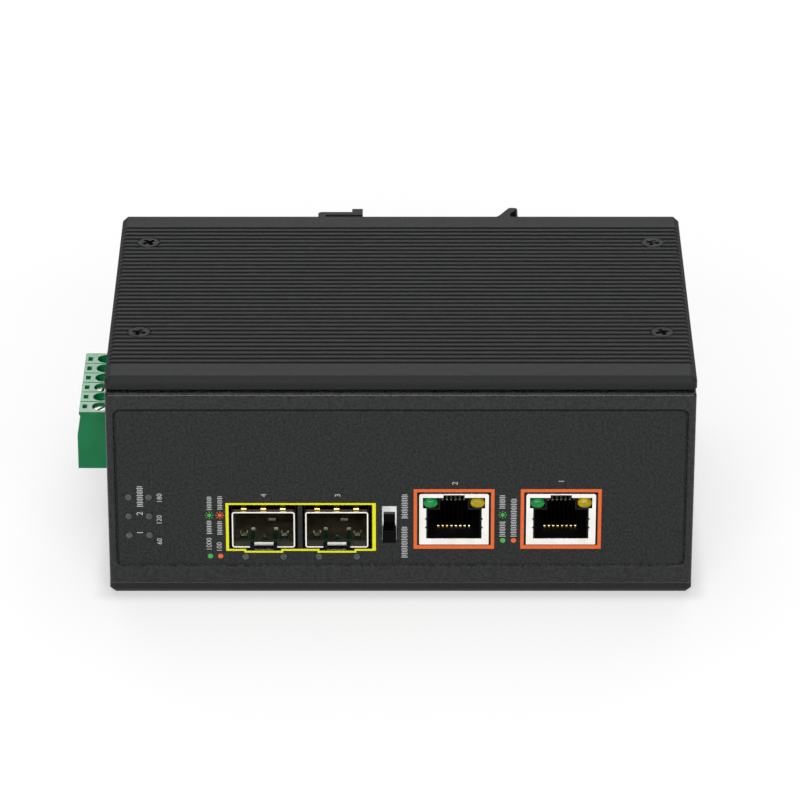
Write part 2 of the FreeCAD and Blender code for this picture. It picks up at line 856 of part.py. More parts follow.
def jack_light(centre, side):
    """Rectangular indicator with bevelled edges, beside the latch channel."""
    top = jack_low + jack_height - led_window_top
    place = centre + side * light_offset()
    x = centred(place, led_window_width - 2 * led_gap)
    z = (top - led_window_height + led_gap, top - led_gap)
    lens = block(x, (jack_face + led_recess, jack_face + led_depth - led_gap), z)
    lens = bevelled(lens, led_bevel, straight_edges(lens, along_y))
    front = [e for e in lens.Edges if e.BoundBox.YMax < jack_face + led_recess + 0.01]
    return bevelled(lens, led_bevel - 0.1, front)


def jack_lights(side):
    return Part.makeCompound([jack_light(centre, side) for centre in jack_centres.values()])


# Fibre module cages

def module_cage(centre):
    """Folded steel tube, open in front, with a sprung latch tab in its floor."""
    x, z = centred(centre, cage_width), (board_top, board_top + cage_height)
    y = (cage_face, cage_face + cage_depth)
    t = cage_sheet
    tube = rounded(block(x, y, z), along_y, cage_corner_radius)
    bore = rounded(block((x[0] + t, x[1] - t), (y[0] - 1, y[1] - t), (z[0] + t, z[1] - t)),
                   along_y, cage_corner_radius - t)
    cuts = [bore]
    through = (z[0] - 1, z[0] + t + 0.1)
    for side in (-1, 1):
        slit = centre + side * (latch_tab_width + latch_slit) / 2
        cuts.append(block(centred(slit, latch_slit), (y[0] - 1, y[0] + latch_tab_depth), through))
        place = centre + side * floor_spring_spacing / 2
        spring_y = y[0] + floor_spring_from_mouth
        cuts.append(block(centred(place, floor_window[0]), (spring_y, spring_y + floor_window[1]),
                          through))
    cuts.append(block(centred(centre, latch_tab_width + latch_slit),
                      (y[0] - 1, y[0] + latch_tab_setback), through))
    cuts.append(block(centred(centre + peep_hole_shift, peep_hole[0]),
                      centred(y[0] + peep_hole_from_mouth + peep_hole[1] / 2, peep_hole[1]),
                      through))
    near, half = y[0] + latch_hole_from_mouth, latch_hole[0] / 2
    triangle = outline([(centre - half, near, through[0]), (centre + half, near, through[0]),
                        (centre, near + latch_hole[1], through[0])])
    cuts.append(triangle.extrude(Vector(0, 0, through[1] - through[0])))
    connector_y = host_connector_y()
    cuts.append(block(centred(centre, host_connector_width + 2 * host_connector_gap),
                      (connector_y[0] - host_connector_gap, y[1] - t), through))
    lip = block(centred(centre, latch_tab_width),
                (y[0] + latch_tab_setback, y[0] + latch_tab_setback + t),
                (z[0] + t - latch_lip, z[0] + t))
    return joined([without(tube, cuts), lip] + floor_springs(centre))


def floor_springs(centre):
    """Two tongues bent up out of the cage's floor, hinged at the back of their windows."""
    t, width = cage_sheet, floor_spring_width
    middle = board_top + t / 2
    hinge = cage_face + floor_spring_from_mouth + floor_window[1]
    tongues = []
    for side in (-1, 1):
        x = centre + side * floor_spring_spacing / 2 - width / 2
        crest = hinge - floor_window[1] / 2
        tip = crest - floor_window[1] / 6
        points = [(x, hinge + t, middle), (x, hinge, middle),
                  (x, crest, middle + floor_spring_height), (x, tip, middle + t)]
        tongues.append(folded_strip(points, along_x, t, t, Vector(width, 0, 0)))
    return tongues


def cage_collar(centre):
    """Sprung contact strip round the cage's mouth, three fingers standing up on top."""
    t, gap = collar_sheet, collar_gap
    x = centred(centre, cage_width + 2 * gap)
    top = board_top + cage_height + gap
    y = (cage_face + collar_place[0], cage_face + collar_place[1])
    cover = block(x, y, (top, top + t))
    pieces = [cover]
    for i in (-1, 0, 1):
        place = centre + i * finger_spacing - finger_width / 2
        run = [(place, y[0] + 0.1, top + t / 2), (place, y[0] + 1.6, top + finger_height),
               (place, y[1] - 0.1, top + t / 2)]
        pieces.append(folded_strip(run, along_x, t, 0.5, Vector(finger_width, 0, 0)))
    for side in (-1, 1):
        wall = sorted((centre + side * (cage_width / 2 + gap),
                       centre + side * (cage_width / 2 + gap + t)))
        pieces.append(block(wall, (cage_face + collar_side_start, y[1]),
                            (board_top + collar_low, top + t)))
    return joined(pieces)


def host_connector_y():
    back = cage_face + cage_depth - cage_sheet - host_connector_gap
    return back - host_connector_depth, back


def host_connector(centre):
    """Edge connector at the back of the cage, with its card slot."""
    y = host_connector_y()
    x = centred(centre, host_connector_width)
    body = block(x, y, (board_top, board_top + host_connector_height))
    front = [e for e in straight_edges(body, along_x)
             if e.CenterOfMass.y < y[0] + 0.1 and e.CenterOfMass.z > board_top + 1]
    body = bevelled(body, host_connector_bevel, front)
    slot = block(centred(centre, host_connector_width - 2 * card_slot_end_wall),
                 (y[0] - 1, y[0] + card_slot_depth),
                 centred(board_top + host_connector_height / 2, card_slot_height))
    return without(body, [slot])


# Mode switch

def switch_plate_face():
    return bezel_face + switch_lip


def switch_slot_z():
    low = switch_window_low + switch_slot_above_window
    return low, low + knob_height + knob_travel + 2 * knob_gap + switch_stop


def switch_shell():
    """Folded steel cover: a front plate with the slot and two legs down the sides."""
    t, face = switch_shell_sheet, switch_plate_face()
    z = switch_body_z()
    left, right = centred(switch_centre, switch_body_width)
    points = [(left + t / 2, face + switch_body_depth, z[0]), (left + t / 2, face + t / 2, z[0]),
              (right - t / 2, face + t / 2, z[0]), (right - t / 2, face + switch_body_depth, z[0])]
    shell = folded_strip(points, along_z, t, switch_bend_radius, Vector(0, 0, z[1] - z[0]))
    slot = block(centred(switch_centre, switch_slot_width), (face - 1, face + t + 0.5),
                 switch_slot_z())
    high = switch_slot_z()[1]
    stop = block(centred(switch_centre, switch_slot_width + 2 * switch_stop_root),
                 (face + t, face + 2 * t), (high - switch_stop, high + switch_stop_root))
    return joined([without(shell, [slot]), stop])


def switch_base():
    """Moulded base inside the shell, on a foot that stands on the board."""
    t, face = switch_shell_sheet, switch_plate_face()
    x = centred(switch_centre, switch_body_width - 2 * t - 2 * switch_base_gap)
    z = switch_body_z()
    y = (face + t + switch_base_gap, face + switch_body_depth + switch_base_proud)
    body = block(x, y, z)
    front = [e for e in straight_edges(body, along_z) if e.CenterOfMass.y < y[0] + 0.1]
    body = bevelled(body, switch_bend_radius, front)
    low, high = switch_slot_z()
    track = block(centred(switch_centre, switch_slot_width + 2 * switch_track_margin),
                  (y[0] - 1, y[0] + switch_track_depth),
                  (low - switch_track_margin, high + switch_track_margin))
    foot = block(x, (y[1] - switch_foot[0], y[1] + switch_foot[1]),
                 (board_top, board_top + switch_foot[1]))
    return without(joined([body, foot]), [track])


def switch_knob():
    """Knob with a wide head in the window and a stem through the slot, at its low end."""
    face = switch_plate_face()
    low = switch_slot_z()[0] + knob_gap
    high = low + knob_height
    stem_back = face + switch_shell_sheet + switch_track_depth - 2 * knob_gap
    stem = block(centred(switch_centre, switch_slot_width - 2 * knob_gap),
                 (face - 2 * knob_gap, stem_back), (low, high))
    front = bezel_face - knob_proud
    head = block(centred(switch_centre, knob_head_width), (front, face - knob_gap), (low, high))
    head = rounded(head, along_x, knob_edge_radius, lambda p: p.y < front + 0.1)
    return joined([stem, head])


# Status lights

def light_block():
    """Black holder that carries the six status lights above one another on the board."""
    wall = status_block_wall
    x = (status_columns[0] - wall, status_columns[-1] + wall)
    high = status_low_row + status_row_pitch * (status_rows - 1) + wall
    body = block(x, (status_block_front, status_block_front + status_block_depth),
                 (board_top, high))
    front = [e for e in straight_edges(body, along_x)
             if e.CenterOfMass.y < status_block_front + 0.1 and e.CenterOfMass.z > high - 0.1]
    return bevelled(body, wall / 2, front)


def status_lenses():
    """Short clear rods between the holder's lights and the overlay's face."""
    return Part.makeCompound([rod(lens_radius, x, overlay_face, z, along_y,
                                  status_block_front - overlay_face)
                              for x, z in status_places()])


def fibre_light_pipes():
    """Clear rods under the board, each with a square foot against the board's underside."""
    pipes = []
    back = overlay_face + fibre_pipe_length
    for x, z in fibre_light_places():
        pipe = rod(lens_radius, x, overlay_face, z, along_y, fibre_pipe_length)
        foot = block(centred(x, fibre_foot), (back - fibre_foot, back),
                     (z - fibre_foot / 2, board_low))
        pipes.append(joined([pipe, foot]))
    return Part.makeCompound(pipes)


# Power terminal

def header_z():
    return board_top, plug_low + nose_low + nose_height + header_wall + header_gap


def terminal_header():
    """Shrouded header on the board; the plug's nose fits inside."""
    x = (header_mouth, header_mouth + header_length)
    y = (terminal_front - header_gap - header_wall, terminal_back + header_gap + header_wall)
    shroud = block(x, y, header_z())
    inside = (terminal_front - header_gap, terminal_back + header_gap)
    z = (plug_low + nose_low - header_gap, plug_low + nose_low + nose_height + header_gap)
    hollow = block((x[0] - 1, nose_end + header_gap), inside, z)
    return without(shroud, [hollow] + header_pins().Solids)


def header_pins():
    """Square pins along the plug's direction, bent down through the board."""
    pins = []
    for y in pole_places:
        side = y - pin_size / 2
        points = [(header_mouth + pin_recess, side, pin_height), (pin_tail(), side, pin_height),
                  (pin_tail(), side, board_low - pin_tail_reach)]
        pins.append(folded_strip(points, along_y, pin_size, pin_bend_radius,
                                 Vector(0, pin_size, 0)))
    return Part.makeCompound(pins)


def pin_tail():
    """Where the header's pins go down through the board."""
    return header_mouth + header_length - pin_tail_from_end


def plug_side():
    """Side view of the plug: a swelling outer face under a lipped top edge, and the nose."""
    end, low, high = plug_outer_end, plug_low, plug_low + plug_height
    top_end, straight = end + plug_top_inset, high - plug_shoulder_drop
    y = terminal_front
    nose = plug_low + nose_low
    undercut, lip = plug_lip
    return [(end, y, low), (plug_shoulder, y, low), (plug_shoulder, y, nose),
            (nose_end, y, nose), (nose_end, y, nose + nose_height),
            (plug_shoulder, y, nose + nose_height), (plug_shoulder, y, high),
            (top_end, y, high), (top_end, y, high - lip + undercut),
            (top_end + undercut, y, high - lip), (end, y, straight)]


def plug_body():
    """Six-pole plug: clamp screws from above, wires from the outer end, sockets in the nose."""
    body = outline(plug_side()).extrude(Vector(0, terminal_length, 0))
    high = plug_low + plug_height
    end = plug_outer_end
    cuts = []
    for y in pole_places:
        cuts.append(rod(clamp_hole_radius, end + clamp_hole_from_end, y, pin_height, along_z,
                        high - pin_height + 1))
        cuts.append(block(centred(end + test_hole_from_end, test_hole[0]),
                          centred(y, test_hole[1]), (high - test_hole_depth, high + 1)))
        cuts.append(block((end - 1, socket_start()), centred(y, wire_entry[0]),
                          centred(pin_height, wire_entry[1])))
        cuts.append(block((end + clamp_hole_from_end, nose_end + 1), centred(y, socket_bore),
                          centred(pin_height, socket_bore)))
    for y in [place + pole_pitch / 2 for place in pole_places[:-1]]:
        cuts.append(block((end - 1, plug_shoulder), centred(y, pole_groove),
                          (high - pole_groove, high + 1)))
    return without(body, cuts)


def clamp_cages():
    """Rising cages that pinch the wires, one to a pole."""
    length, width, height = clamp_cage
    x = centred(plug_outer_end + clamp_hole_from_end, length)
    cages = []
    for y in pole_places:
        outer = block(x, centred(y, width), centred(pin_height, height))
        window = block((x[0] - 1, x[1] + 1), centred(y, width - 2 * clamp_cage_wall),
                       centred(pin_height, height - 2 * clamp_cage_wall))
        cages.append(without(outer, [window]))
    return Part.makeCompound(cages)


def clamp_screws():
    """Slotted screws at the bottom of the round wells."""
    x = plug_outer_end + clamp_hole_from_end
    base = pin_height + clamp_cage[2] / 2
    top = base + clamp_screw_height
    screws = []
    for i, y in enumerate(pole_places):
        screw = rod(clamp_hole_radius - socket_gap, x, y, base, along_z, clamp_screw_height)
        slot = block(centred(x, 3 * clamp_hole_radius), centred(y, screw_slot[0]),
                     (top - screw_slot[1], top + 1))
        screw = screw.cut(slot)
        screw.rotate(Vector(x, y, 0), along_z, 20 + 35 * i)
        screws.append(screw)
    return Part.makeCompound(screws)


def socket_contacts():
    """Sprung tubes in the nose that grip the header's pins."""
    size = socket_bore - 2 * socket_gap
    tubes = []
    for y in pole_places:
        outer = block((socket_start(), nose_end - 2 * socket_gap), centred(y, size),
                      centred(pin_height, size))
        inside = size - 2 * socket_wall
        bore = block((header_mouth, nose_end), centred(y, inside), centred(pin_height, inside))
        tubes.append(without(outer, [bore]))
    return Part.makeCompound(tubes)


def socket_start():
    """Where the wire entries end and the socket tubes begin."""
    return plug_outer_end + clamp_hole_from_end + clamp_cage[0] / 2 + socket_gap


# Rail bracket

def bracket_profile():
    """Section of the extrusion: base, hook with a deep slot, catch with a curved lead-in."""
    seat, z = bracket_seat, bracket_low
    bar_low, bar_high = seat + hook_slot, seat + hook_slot + hook_bar
    tab = bar_high + hook_tab_height
    nose, peak = seat + catch_notch, seat + catch_height
    chamfer, crest = bracket_chamfer, bracket_right - catch_flat
    lip = nose + bracket_chamfer
    slant, rise = crest - catch_tip, peak - lip
    lead = [(catch_tip, lip, z), (catch_tip + 0.3 * slant, lip + 0.15 * rise, z),
            (catch_tip + 0.7 * slant, lip + 0.6 * rise, z), (crest, peak, z)]
    before = [(bracket_left, rear_face, z), (bracket_left, bar_high - chamfer, z),
              (bracket_left + chamfer, bar_high, z), (hook_tip - hook_tab_width, bar_high, z),
              (hook_tip - hook_tab_width, tab, z), (hook_tip, tab, z), (hook_tip, bar_low, z),
              (hook_slot_end, bar_low, z), (hook_slot_end, seat, z), (catch_root, seat, z),
              (catch_root, nose, z), (catch_tip, nose, z)]
    after = [(bracket_right - chamfer, peak, z), (bracket_right, peak - chamfer, z),
             (bracket_right, rear_face, z)]
    curve = Part.BSplineCurve()
    curve.interpolate([Vector(*p) for p in lead])
    chain = [Vector(*p) for p in before + lead[:1]]
    edges = [Part.LineSegment(a, b).toShape() for a, b in zip(chain, chain[1:])]
    edges.append(curve.toShape())
    chain = [Vector(*p) for p in lead[-1:] + after + before[:1]]
    edges += [Part.LineSegment(a, b).toShape() for a, b in zip(chain, chain[1:])]
    return Part.Face(Part.Wire(Part.__sortEdges__(edges)))


def catch_hollow_profile():
    """Lightening hollow that runs through the catch behind its sloped wall."""
    width, low, shoulder, high = catch_hollow
    right, seat, z = bracket_right - catch_wall, bracket_seat, bracket_low - 1
    return outline([(right, seat + low, z), (right, seat + high, z),
                    (right - width, seat + shoulder, z), (right - width, seat + low, z)])


def rail_bracket():
    height = bracket_high - bracket_low
    body = bracket_profile().extrude(Vector(0, 0, height))
    hollow = catch_hollow_profile().extrude(Vector(0, 0, height + 2))
    holes = [countersink(Vector(x, bracket_seat, z), Vector(0, -1, 0), bracket_base + 1)
             for x, z in bracket_screw_places()]
    return without(body, [hollow] + holes + spring_slots())


def spring_ends():
    return bracket_low + spring_from_end, bracket_high - spring_from_end


def spring_slots():
    """Slots in the base that let the spring's legs travel with it."""
    radius = spring_wire_radius + spring_slot_clearance
    slots = []
    for z in spring_ends():
        y = rear_face + spring_slot_floor
        x = (spring_leg_x - spring_travel, spring_leg_x)
        slot = block(x, (y, bracket_seat + 1), centred(z, 2 * radius))
        ends = [rod(radius, end, y, z, along_y, bracket_seat + 1 - y) for end in x]
        slots.append(slot.fuse(ends))
    return slots


def rail_spring():
    """Bowed wire in the hook's slot that presses the rail towards the catch."""
    y = bracket_seat + hook_slot / 2
    low, high = spring_ends()
    turn, slope = spring_turn_radius, math.radians(spring_slope)
    chord = high - low - 2 * turn * math.cos(slope)
    rise = chord / 2 * math.tan(slope / 2)
    foot = Vector(spring_leg_x, rear_face + spring_slot_floor + spring_foot_gap, low)
    corner = Vector(spring_leg_x, y - turn, low)
    lean = Vector(math.sin(slope), 0, math.cos(slope))
    centre = corner + lean * turn
    crown = centre + (along_y - lean) * (turn / math.sqrt(2))
    leave = centre + along_y * turn
    middle = Vector(leave.x + rise, y, (low + high) / 2)

    def across(p):
        return Vector(p.x, p.y, low + high - p.z)

    edges = [Part.LineSegment(foot, corner).toShape(),
             Part.Arc(corner, crown, leave).toShape(),
             Part.Arc(leave, middle, across(leave)).toShape(),
             Part.Arc(across(leave), across(crown), across(corner)).toShape(),
             Part.LineSegment(across(corner), across(foot)).toShape()]
    section = Part.Face(Part.Wire(Part.makeCircle(spring_wire_radius, foot, along_y)))
    return single(Part.Wire(edges).makePipe(section))


def bracket_screws():
    forward = Vector(0, -1, 0)
    return Part.makeCompound([flush_screw(Vector(x, bracket_seat, z), forward,
                                          bracket_base + sheet + bracket_screw_end)
                              for x, z in bracket_screw_places()])


# Inside: power and network parts

def core_box():
    x, from_back = transformer_place
    low = board_top + core_lift
    return (centred(x, core_size[0]), centred(board_back - from_back, core_size[1]),
            (low, low + core_size[2]))


def transformer_core():
    """Ferrite core, two E halves closed round the winding."""
    x, y, z = core_box()
    body = block(x, y, z)
    through, height = (y[0] - 1, y[1] + 1), (z[0] + core_leg, z[1] - core_leg)
    near, far = core_leg, core_leg + core_window
    return without(body, [block((x[0] + near, x[0] + far), through, height),
                          block((x[1] - far, x[1] - near), through, height)])


def transformer_winding():
    """Taped copper winding on the core's middle leg, on feet that reach the board."""
    x, y, z = core_box()
    inset, over, gap = core_leg + winding_gap, winding_overhang, winding_gap
    outer = block((x[0] + inset, x[1] - inset), (y[0] - over, y[1] + over),
                  (z[0] + inset, z[1] - inset))
    outer = rounded(outer, along_z, over - winding_foot[1] / 2)
    reach = core_leg + core_window - gap
    leg = block((x[0] + reach, x[1] - reach), (y[0] - gap, y[1] + gap), z)
    feet = [block(centred(transformer_place[0], winding_foot[0]),
                  sorted((edge, edge + side * winding_foot[1])), (board_top, z[0] + inset + gap))
            for edge, side in ((y[0] - over, 1), (y[1] + over, -1))]
    return joined([without(outer, [leg])] + feet)


def power_inductors():
    size, height = inductor_size
    coils = []
    for x, from_back in inductor_places:
        body = block(centred(x, size), centred(board_back - from_back, size),
                     (board_top, board_top + height))
        coils.append(rounded(body, along_z, inductor_corner_radius))
    return Part.makeCompound(coils)


def capacitors():
    """Upright cans: two behind the fibre ports and one behind the copper ports."""
    places = [(x, board_back - from_back) for x, from_back in output_can_places]
    places.append((input_can_place[0], jack_face + jack_depth + input_can_place[1]))
    return Part.makeCompound([rod(can_radius, x, y, board_top, along_z, can_height)
                              for x, y in places])


def flat_chip(place, size, height):
    body = block(centred(place[0], size), centred(board_back - place[1], size),
                 (board_top, board_top + height))
    top = [e for e in body.Edges if e.BoundBox.ZMin > board_top + height - 0.01]
    return bevelled(body, height / 4, top)


def under_chip(size, z):
    return block(centred(chip_place[0], size), centred(board_back - chip_place[1], size), z)


def heat_block():
    """Aluminium block that carries heat from under the network chip to the lower panel."""
    body = under_chip(heat_block_size, (inner_low, board_low - pad_thickness))
    return rounded(body, along_z, board_corner_radius)


def thermal_pad():
    return under_chip(heat_block_size - 2 * pad_margin, (board_low - pad_thickness, board_low))


def all_parts():
    parts = {
        "top_side_panel": ribbed_panel(),
        "bottom_side_panel": lower_panel(),
        "top_panel_screws": panel_screws(),
        "bottom_panel_screws": flipped(panel_screws()),
        "chassis_frame": chassis_frame(),
        "front_bezel": front_bezel(),
        "front_overlay": front_overlay(),
        "bezel_screws": bezel_screws(),
        "main_board": main_board(),
        "board_standoffs": board_standoffs(),
        "board_screws": board_screws(),
        "green_port_lights": jack_lights(-1),
        "yellow_port_lights": jack_lights(1),
        "mode_switch_shell": switch_shell(),
        "mode_switch_base": switch_base(),
        "mode_switch_knob": switch_knob(),
        "status_light_block": light_block(),
        "status_light_lenses": status_lenses(),
        "fibre_light_pipes": fibre_light_pipes(),
        "terminal_header": terminal_header(),
        "terminal_header_pins": header_pins(),
        "terminal_plug_body": plug_body(),
        "terminal_clamp_cages": clamp_cages(),
        "terminal_clamp_screws": clamp_screws(),
        "terminal_socket_contacts": socket_contacts(),
        "rail_bracket": rail_bracket(),
        "rail_bracket_screws": bracket_screws(),
        "rail_spring": rail_spring(),
        "transformer_core": transformer_core(),
        "transformer_winding": transformer_winding(),
        "power_inductors": power_inductors(),
        "smoothing_capacitors": capacitors(),
        "network_chip": flat_chip(chip_place, *chip_size),
        "power_chip": flat_chip(power_chip_place, *power_chip_size),
        "heat_block": heat_block(),
        "thermal_pad": thermal_pad(),
    }
    for port, centre in jack_centres.items():
        parts[port + "_shield"] = jack_shield(centre)
        parts[port + "_insert"] = jack_insert(centre)
        parts[port + "_contacts"] = jack_contacts(centre)
    for port, centre in cage_centres.items():
        parts[port + "_cage"] = module_cage(centre)
        parts[port + "_spring_collar"] = cage_collar(centre)
        parts[port + "_host_connector"] = host_connector(centre)
    return parts


os.makedirs("parts", exist_ok=True)
for node, shape in all_parts().items():
    bad = "" if shape.isValid() else "  INVALID"
    print(f"{node}: {len(shape.Solids)} solid(s), {shape.Volume:.1f} mm3{bad}")
    shape.exportStep(f"parts/{node}.step")
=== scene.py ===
import bpy, bmesh, math
from mathutils import Matrix, Vector


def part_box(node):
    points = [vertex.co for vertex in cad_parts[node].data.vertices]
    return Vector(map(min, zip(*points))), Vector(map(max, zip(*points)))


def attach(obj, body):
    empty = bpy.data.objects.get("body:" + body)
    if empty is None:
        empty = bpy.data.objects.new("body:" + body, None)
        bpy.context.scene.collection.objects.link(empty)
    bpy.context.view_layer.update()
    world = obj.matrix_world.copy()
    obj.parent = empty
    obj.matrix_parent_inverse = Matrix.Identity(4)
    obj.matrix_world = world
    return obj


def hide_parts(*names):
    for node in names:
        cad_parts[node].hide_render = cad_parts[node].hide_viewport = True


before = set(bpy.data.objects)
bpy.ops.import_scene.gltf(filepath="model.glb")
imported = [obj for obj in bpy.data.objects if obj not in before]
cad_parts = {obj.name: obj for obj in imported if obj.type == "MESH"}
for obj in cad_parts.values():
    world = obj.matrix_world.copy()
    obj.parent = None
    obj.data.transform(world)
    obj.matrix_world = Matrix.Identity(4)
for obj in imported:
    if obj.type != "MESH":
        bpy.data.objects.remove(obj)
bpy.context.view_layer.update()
mm = 0.001


def hexColour(code):
    # sRGB hex to the linear values that shaders work in
    channels = [int(code[i:i + 2], 16) / 255 for i in (1, 3, 5)]
    linear = [c / 12.92 if c <= 0.04045 else ((c + 0.055) / 1.055) ** 2.4 for c in channels]
    return (*linear, 1.0)


def addNode(tree, kind, settings=None, links=None):
    # a node with its attributes or socket values, and what feeds it
    node = tree.nodes.new(kind)
    for name, value in (settings or {}).items():
        if isinstance(name, str) and hasattr(node, name):
            setattr(node, name, value)
        else:
            isHex = isinstance(value, str) and value.startswith("#")
            node.inputs[name].default_value = hexColour(value) if isHex else value
    for name, source in (links or {}).items():
        tree.links.new(source, node.inputs[name])
    return node


def perSize(size):
    # texture scale that repeats about once in a size given in millimetres
    return 1 / (size * mm)


def startMaterial(name, metallic, look):
    material = bpy.data.materials.new(name)
    material.use_nodes = True
    tree = material.node_tree
    shader = tree.nodes["Principled BSDF"]
    shader.inputs["Metallic"].default_value = metallic
    shader.inputs["Roughness"].default_value = look["roughness"]
    shader.inputs["Specular IOR Level"].default_value = look.get("specular", 0.5)
    place = addNode(tree, "ShaderNodeTexCoord").outputs["Object"]
    return material, tree, shader, place


# where nearly all values of a noise texture lie
noiseRange = {"From Min": 0.35, "From Max": 0.65}


# Polyester powder coat with a fine sand texture: pimples a third of a millimetre across break up
# every highlight, and the coat rounds the corners, so that they catch a soft line of light.
def powderCoat(name, look):
    material, tree, shader, place = startMaterial(name, 0.0, look)
    grit = addNode(tree, "ShaderNodeTexNoise", {"Scale": perSize(look["grit"]), "Detail": 3.0,
                                                "Roughness": 0.6}, {"Vector": place}).outputs[0]
    even = addNode(tree, "ShaderNodeMapRange", noiseRange, {"Value": grit}).outputs[0]
    tone = addNode(tree, "ShaderNodeMix", {"data_type": "RGBA", 6: look["dark"], 7: look["light"]},
                   {0: even}).outputs[2]  # sockets 6 and 7 are the node's two colours
    mean, spread = look["roughness"], look["glossSpread"]
    gloss = addNode(tree, "ShaderNodeMapRange", {"To Min": mean - spread, "To Max": mean + spread},
                    {"Value": even}).outputs[0]
    soft = addNode(tree, "ShaderNodeBevel", {"samples": 4, "Radius": look["edge"] * mm})
    bump = addNode(tree, "ShaderNodeBump", {"Strength": 0.6, "Distance": look["depth"] * mm},
                   {"Height": grit, "Normal": soft.outputs[0]})
    tree.links.new(tone, shader.inputs["Base Color"])
    tree.links.new(gloss, shader.inputs["Roughness"])
    tree.links.new(bump.outputs[0], shader.inputs["Normal"])
    return material


# Injection-moulded plastic: nearly even colour, a soft orange-peel skin and faint flow clouds.
plasticSkin = {"flow": 6.0, "peel": 0.6, "peelDepth": 0.01, "edge": 0.08, "glossSpread": 0.04}


def mouldedPlastic(name, look):
    skin = plasticSkin
    material, tree, shader, place = startMaterial(name, 0.0, look)
    flow = addNode(tree, "ShaderNodeTexNoise", {"Scale": perSize(skin["flow"]), "Detail": 1.0},
                   {"Vector": place}).outputs[0]
    even = addNode(tree, "ShaderNodeMapRange", noiseRange, {"Value": flow}).outputs[0]
    tone = addNode(tree, "ShaderNodeMix", {"data_type": "RGBA", 6: look["dark"], 7: look["light"]},
                   {0: even}).outputs[2]
    peel = addNode(tree, "ShaderNodeTexNoise", {"Scale": perSize(skin["peel"])},
                   {"Vector": place}).outputs[0]
    mean, spread = look["roughness"], skin["glossSpread"]
    gloss = addNode(tree, "ShaderNodeMapRange", {"To Min": mean - spread, "To Max": mean + spread},
                    {"Value": peel}).outputs[0]
    soft = addNode(tree, "ShaderNodeBevel", {"samples": 4, "Radius": skin["edge"] * mm})
    bump = addNode(tree, "ShaderNodeBump", {"Strength": 0.3, "Distance": skin["peelDepth"] * mm},
                   {"Height": peel, "Normal": soft.outputs[0]})
    tree.links.new(tone, shader.inputs["Base Color"])
    tree.links.new(gloss, shader.inputs["Roughness"])
    tree.links.new(bump.outputs[0], shader.inputs["Normal"])
    return material


# Plated sheet metal: rolling lines along one direction, small stains and a soft stamped edge. The
# lines are drawn coarser than real ones, so that they show. A zone says where the colour changes,
# where plating ends or where shade or light is painted: axis, place where the change starts, place
# where it is full (millimetres), colour.
sheetSkin = {"lines": 0.25, "lineDepth": 0.004, "stain": 3.0, "edge": 0.05, "glossSpread": 0.07}


def platedSheet(name, look):
    skin = sheetSkin
    material, tree, shader, place = startMaterial(name, look.get("metallic", 1.0), look)
    stretch = addNode(tree, "ShaderNodeMapping", {"Scale": look["grain"]}, {"Vector": place})
    lines = addNode(tree, "ShaderNodeTexNoise", {"Scale": perSize(skin["lines"]), "Detail": 3.0},
                    {"Vector": stretch.outputs[0]}).outputs[0]
    stain = addNode(tree, "ShaderNodeTexNoise", {"Scale": perSize(skin["stain"]), "Detail": 3.0},
                    {"Vector": place}).outputs[0]
    even = addNode(tree, "ShaderNodeMapRange", noiseRange, {"Value": stain}).outputs[0]
    tone = addNode(tree, "ShaderNodeMix", {"data_type": "RGBA", 6: look["light"], 7: look["dark"]},
                   {0: even}).outputs[2]
    for axis, start, full, changed in look.get("zones", ()):
        along = addNode(tree, "ShaderNodeSeparateXYZ", None, {0: place}).outputs[axis]
        past = addNode(tree, "ShaderNodeMapRange", {"From Min": start * mm, "From Max": full * mm},
                       {"Value": along}).outputs[0]
        tone = addNode(tree, "ShaderNodeMix", {"data_type": "RGBA", 7: changed},
                       {0: past, 6: tone}).outputs[2]
    mean, spread = look["roughness"], skin["glossSpread"]
    gloss = addNode(tree, "ShaderNodeMapRange", {"To Min": mean - spread, "To Max": mean + spread},
                    {"Value": lines}).outputs[0]
    soft = addNode(tree, "ShaderNodeBevel", {"samples": 4, "Radius": skin["edge"] * mm})
    bump = addNode(tree, "ShaderNodeBump", {"Strength": 0.4, "Distance": skin["lineDepth"] * mm},
                   {"Height": lines, "Normal": soft.outputs[0]})
    tree.links.new(tone, shader.inputs["Base Color"])
    tree.links.new(gloss, shader.inputs["Roughness"])
    tree.links.new(bump.outputs[0], shader.inputs["Normal"])
    return material


# Coloured epoxy or clear acrylic: a wet-looking skin over a tinted body with cloudy streaks.
lensSkin = {"cloud": 1.2, "waveDepth": 0.01, "coatRoughness": 0.06}


def castLens(name, look):
    skin = lensSkin
    material, tree, shader, place = startMaterial(name, 0.0, look)
    cloud = addNode(tree, "ShaderNodeTexNoise", {"Scale": perSize(skin["cloud"]), "Detail": 1.0},
                    {"Vector": place}).outputs[0]
    even = addNode(tree, "ShaderNodeMapRange", noiseRange, {"Value": cloud}).outputs[0]
    tone = addNode(tree, "ShaderNodeMix", {"data_type": "RGBA", 6: look["dark"], 7: look["light"]},
                   {0: even}).outputs[2]
    bump = addNode(tree, "ShaderNodeBump", {"Strength": 0.2, "Distance": skin["waveDepth"] * mm},
                   {"Height": cloud})
    shader.inputs["Coat Weight"].default_value = look["coat"]
    shader.inputs["Coat Roughness"].default_value = skin["coatRoughness"]
    tree.links.new(tone, shader.inputs["Base Color"])
    tree.links.new(bump.outputs[0], shader.inputs["Normal"])
    return material


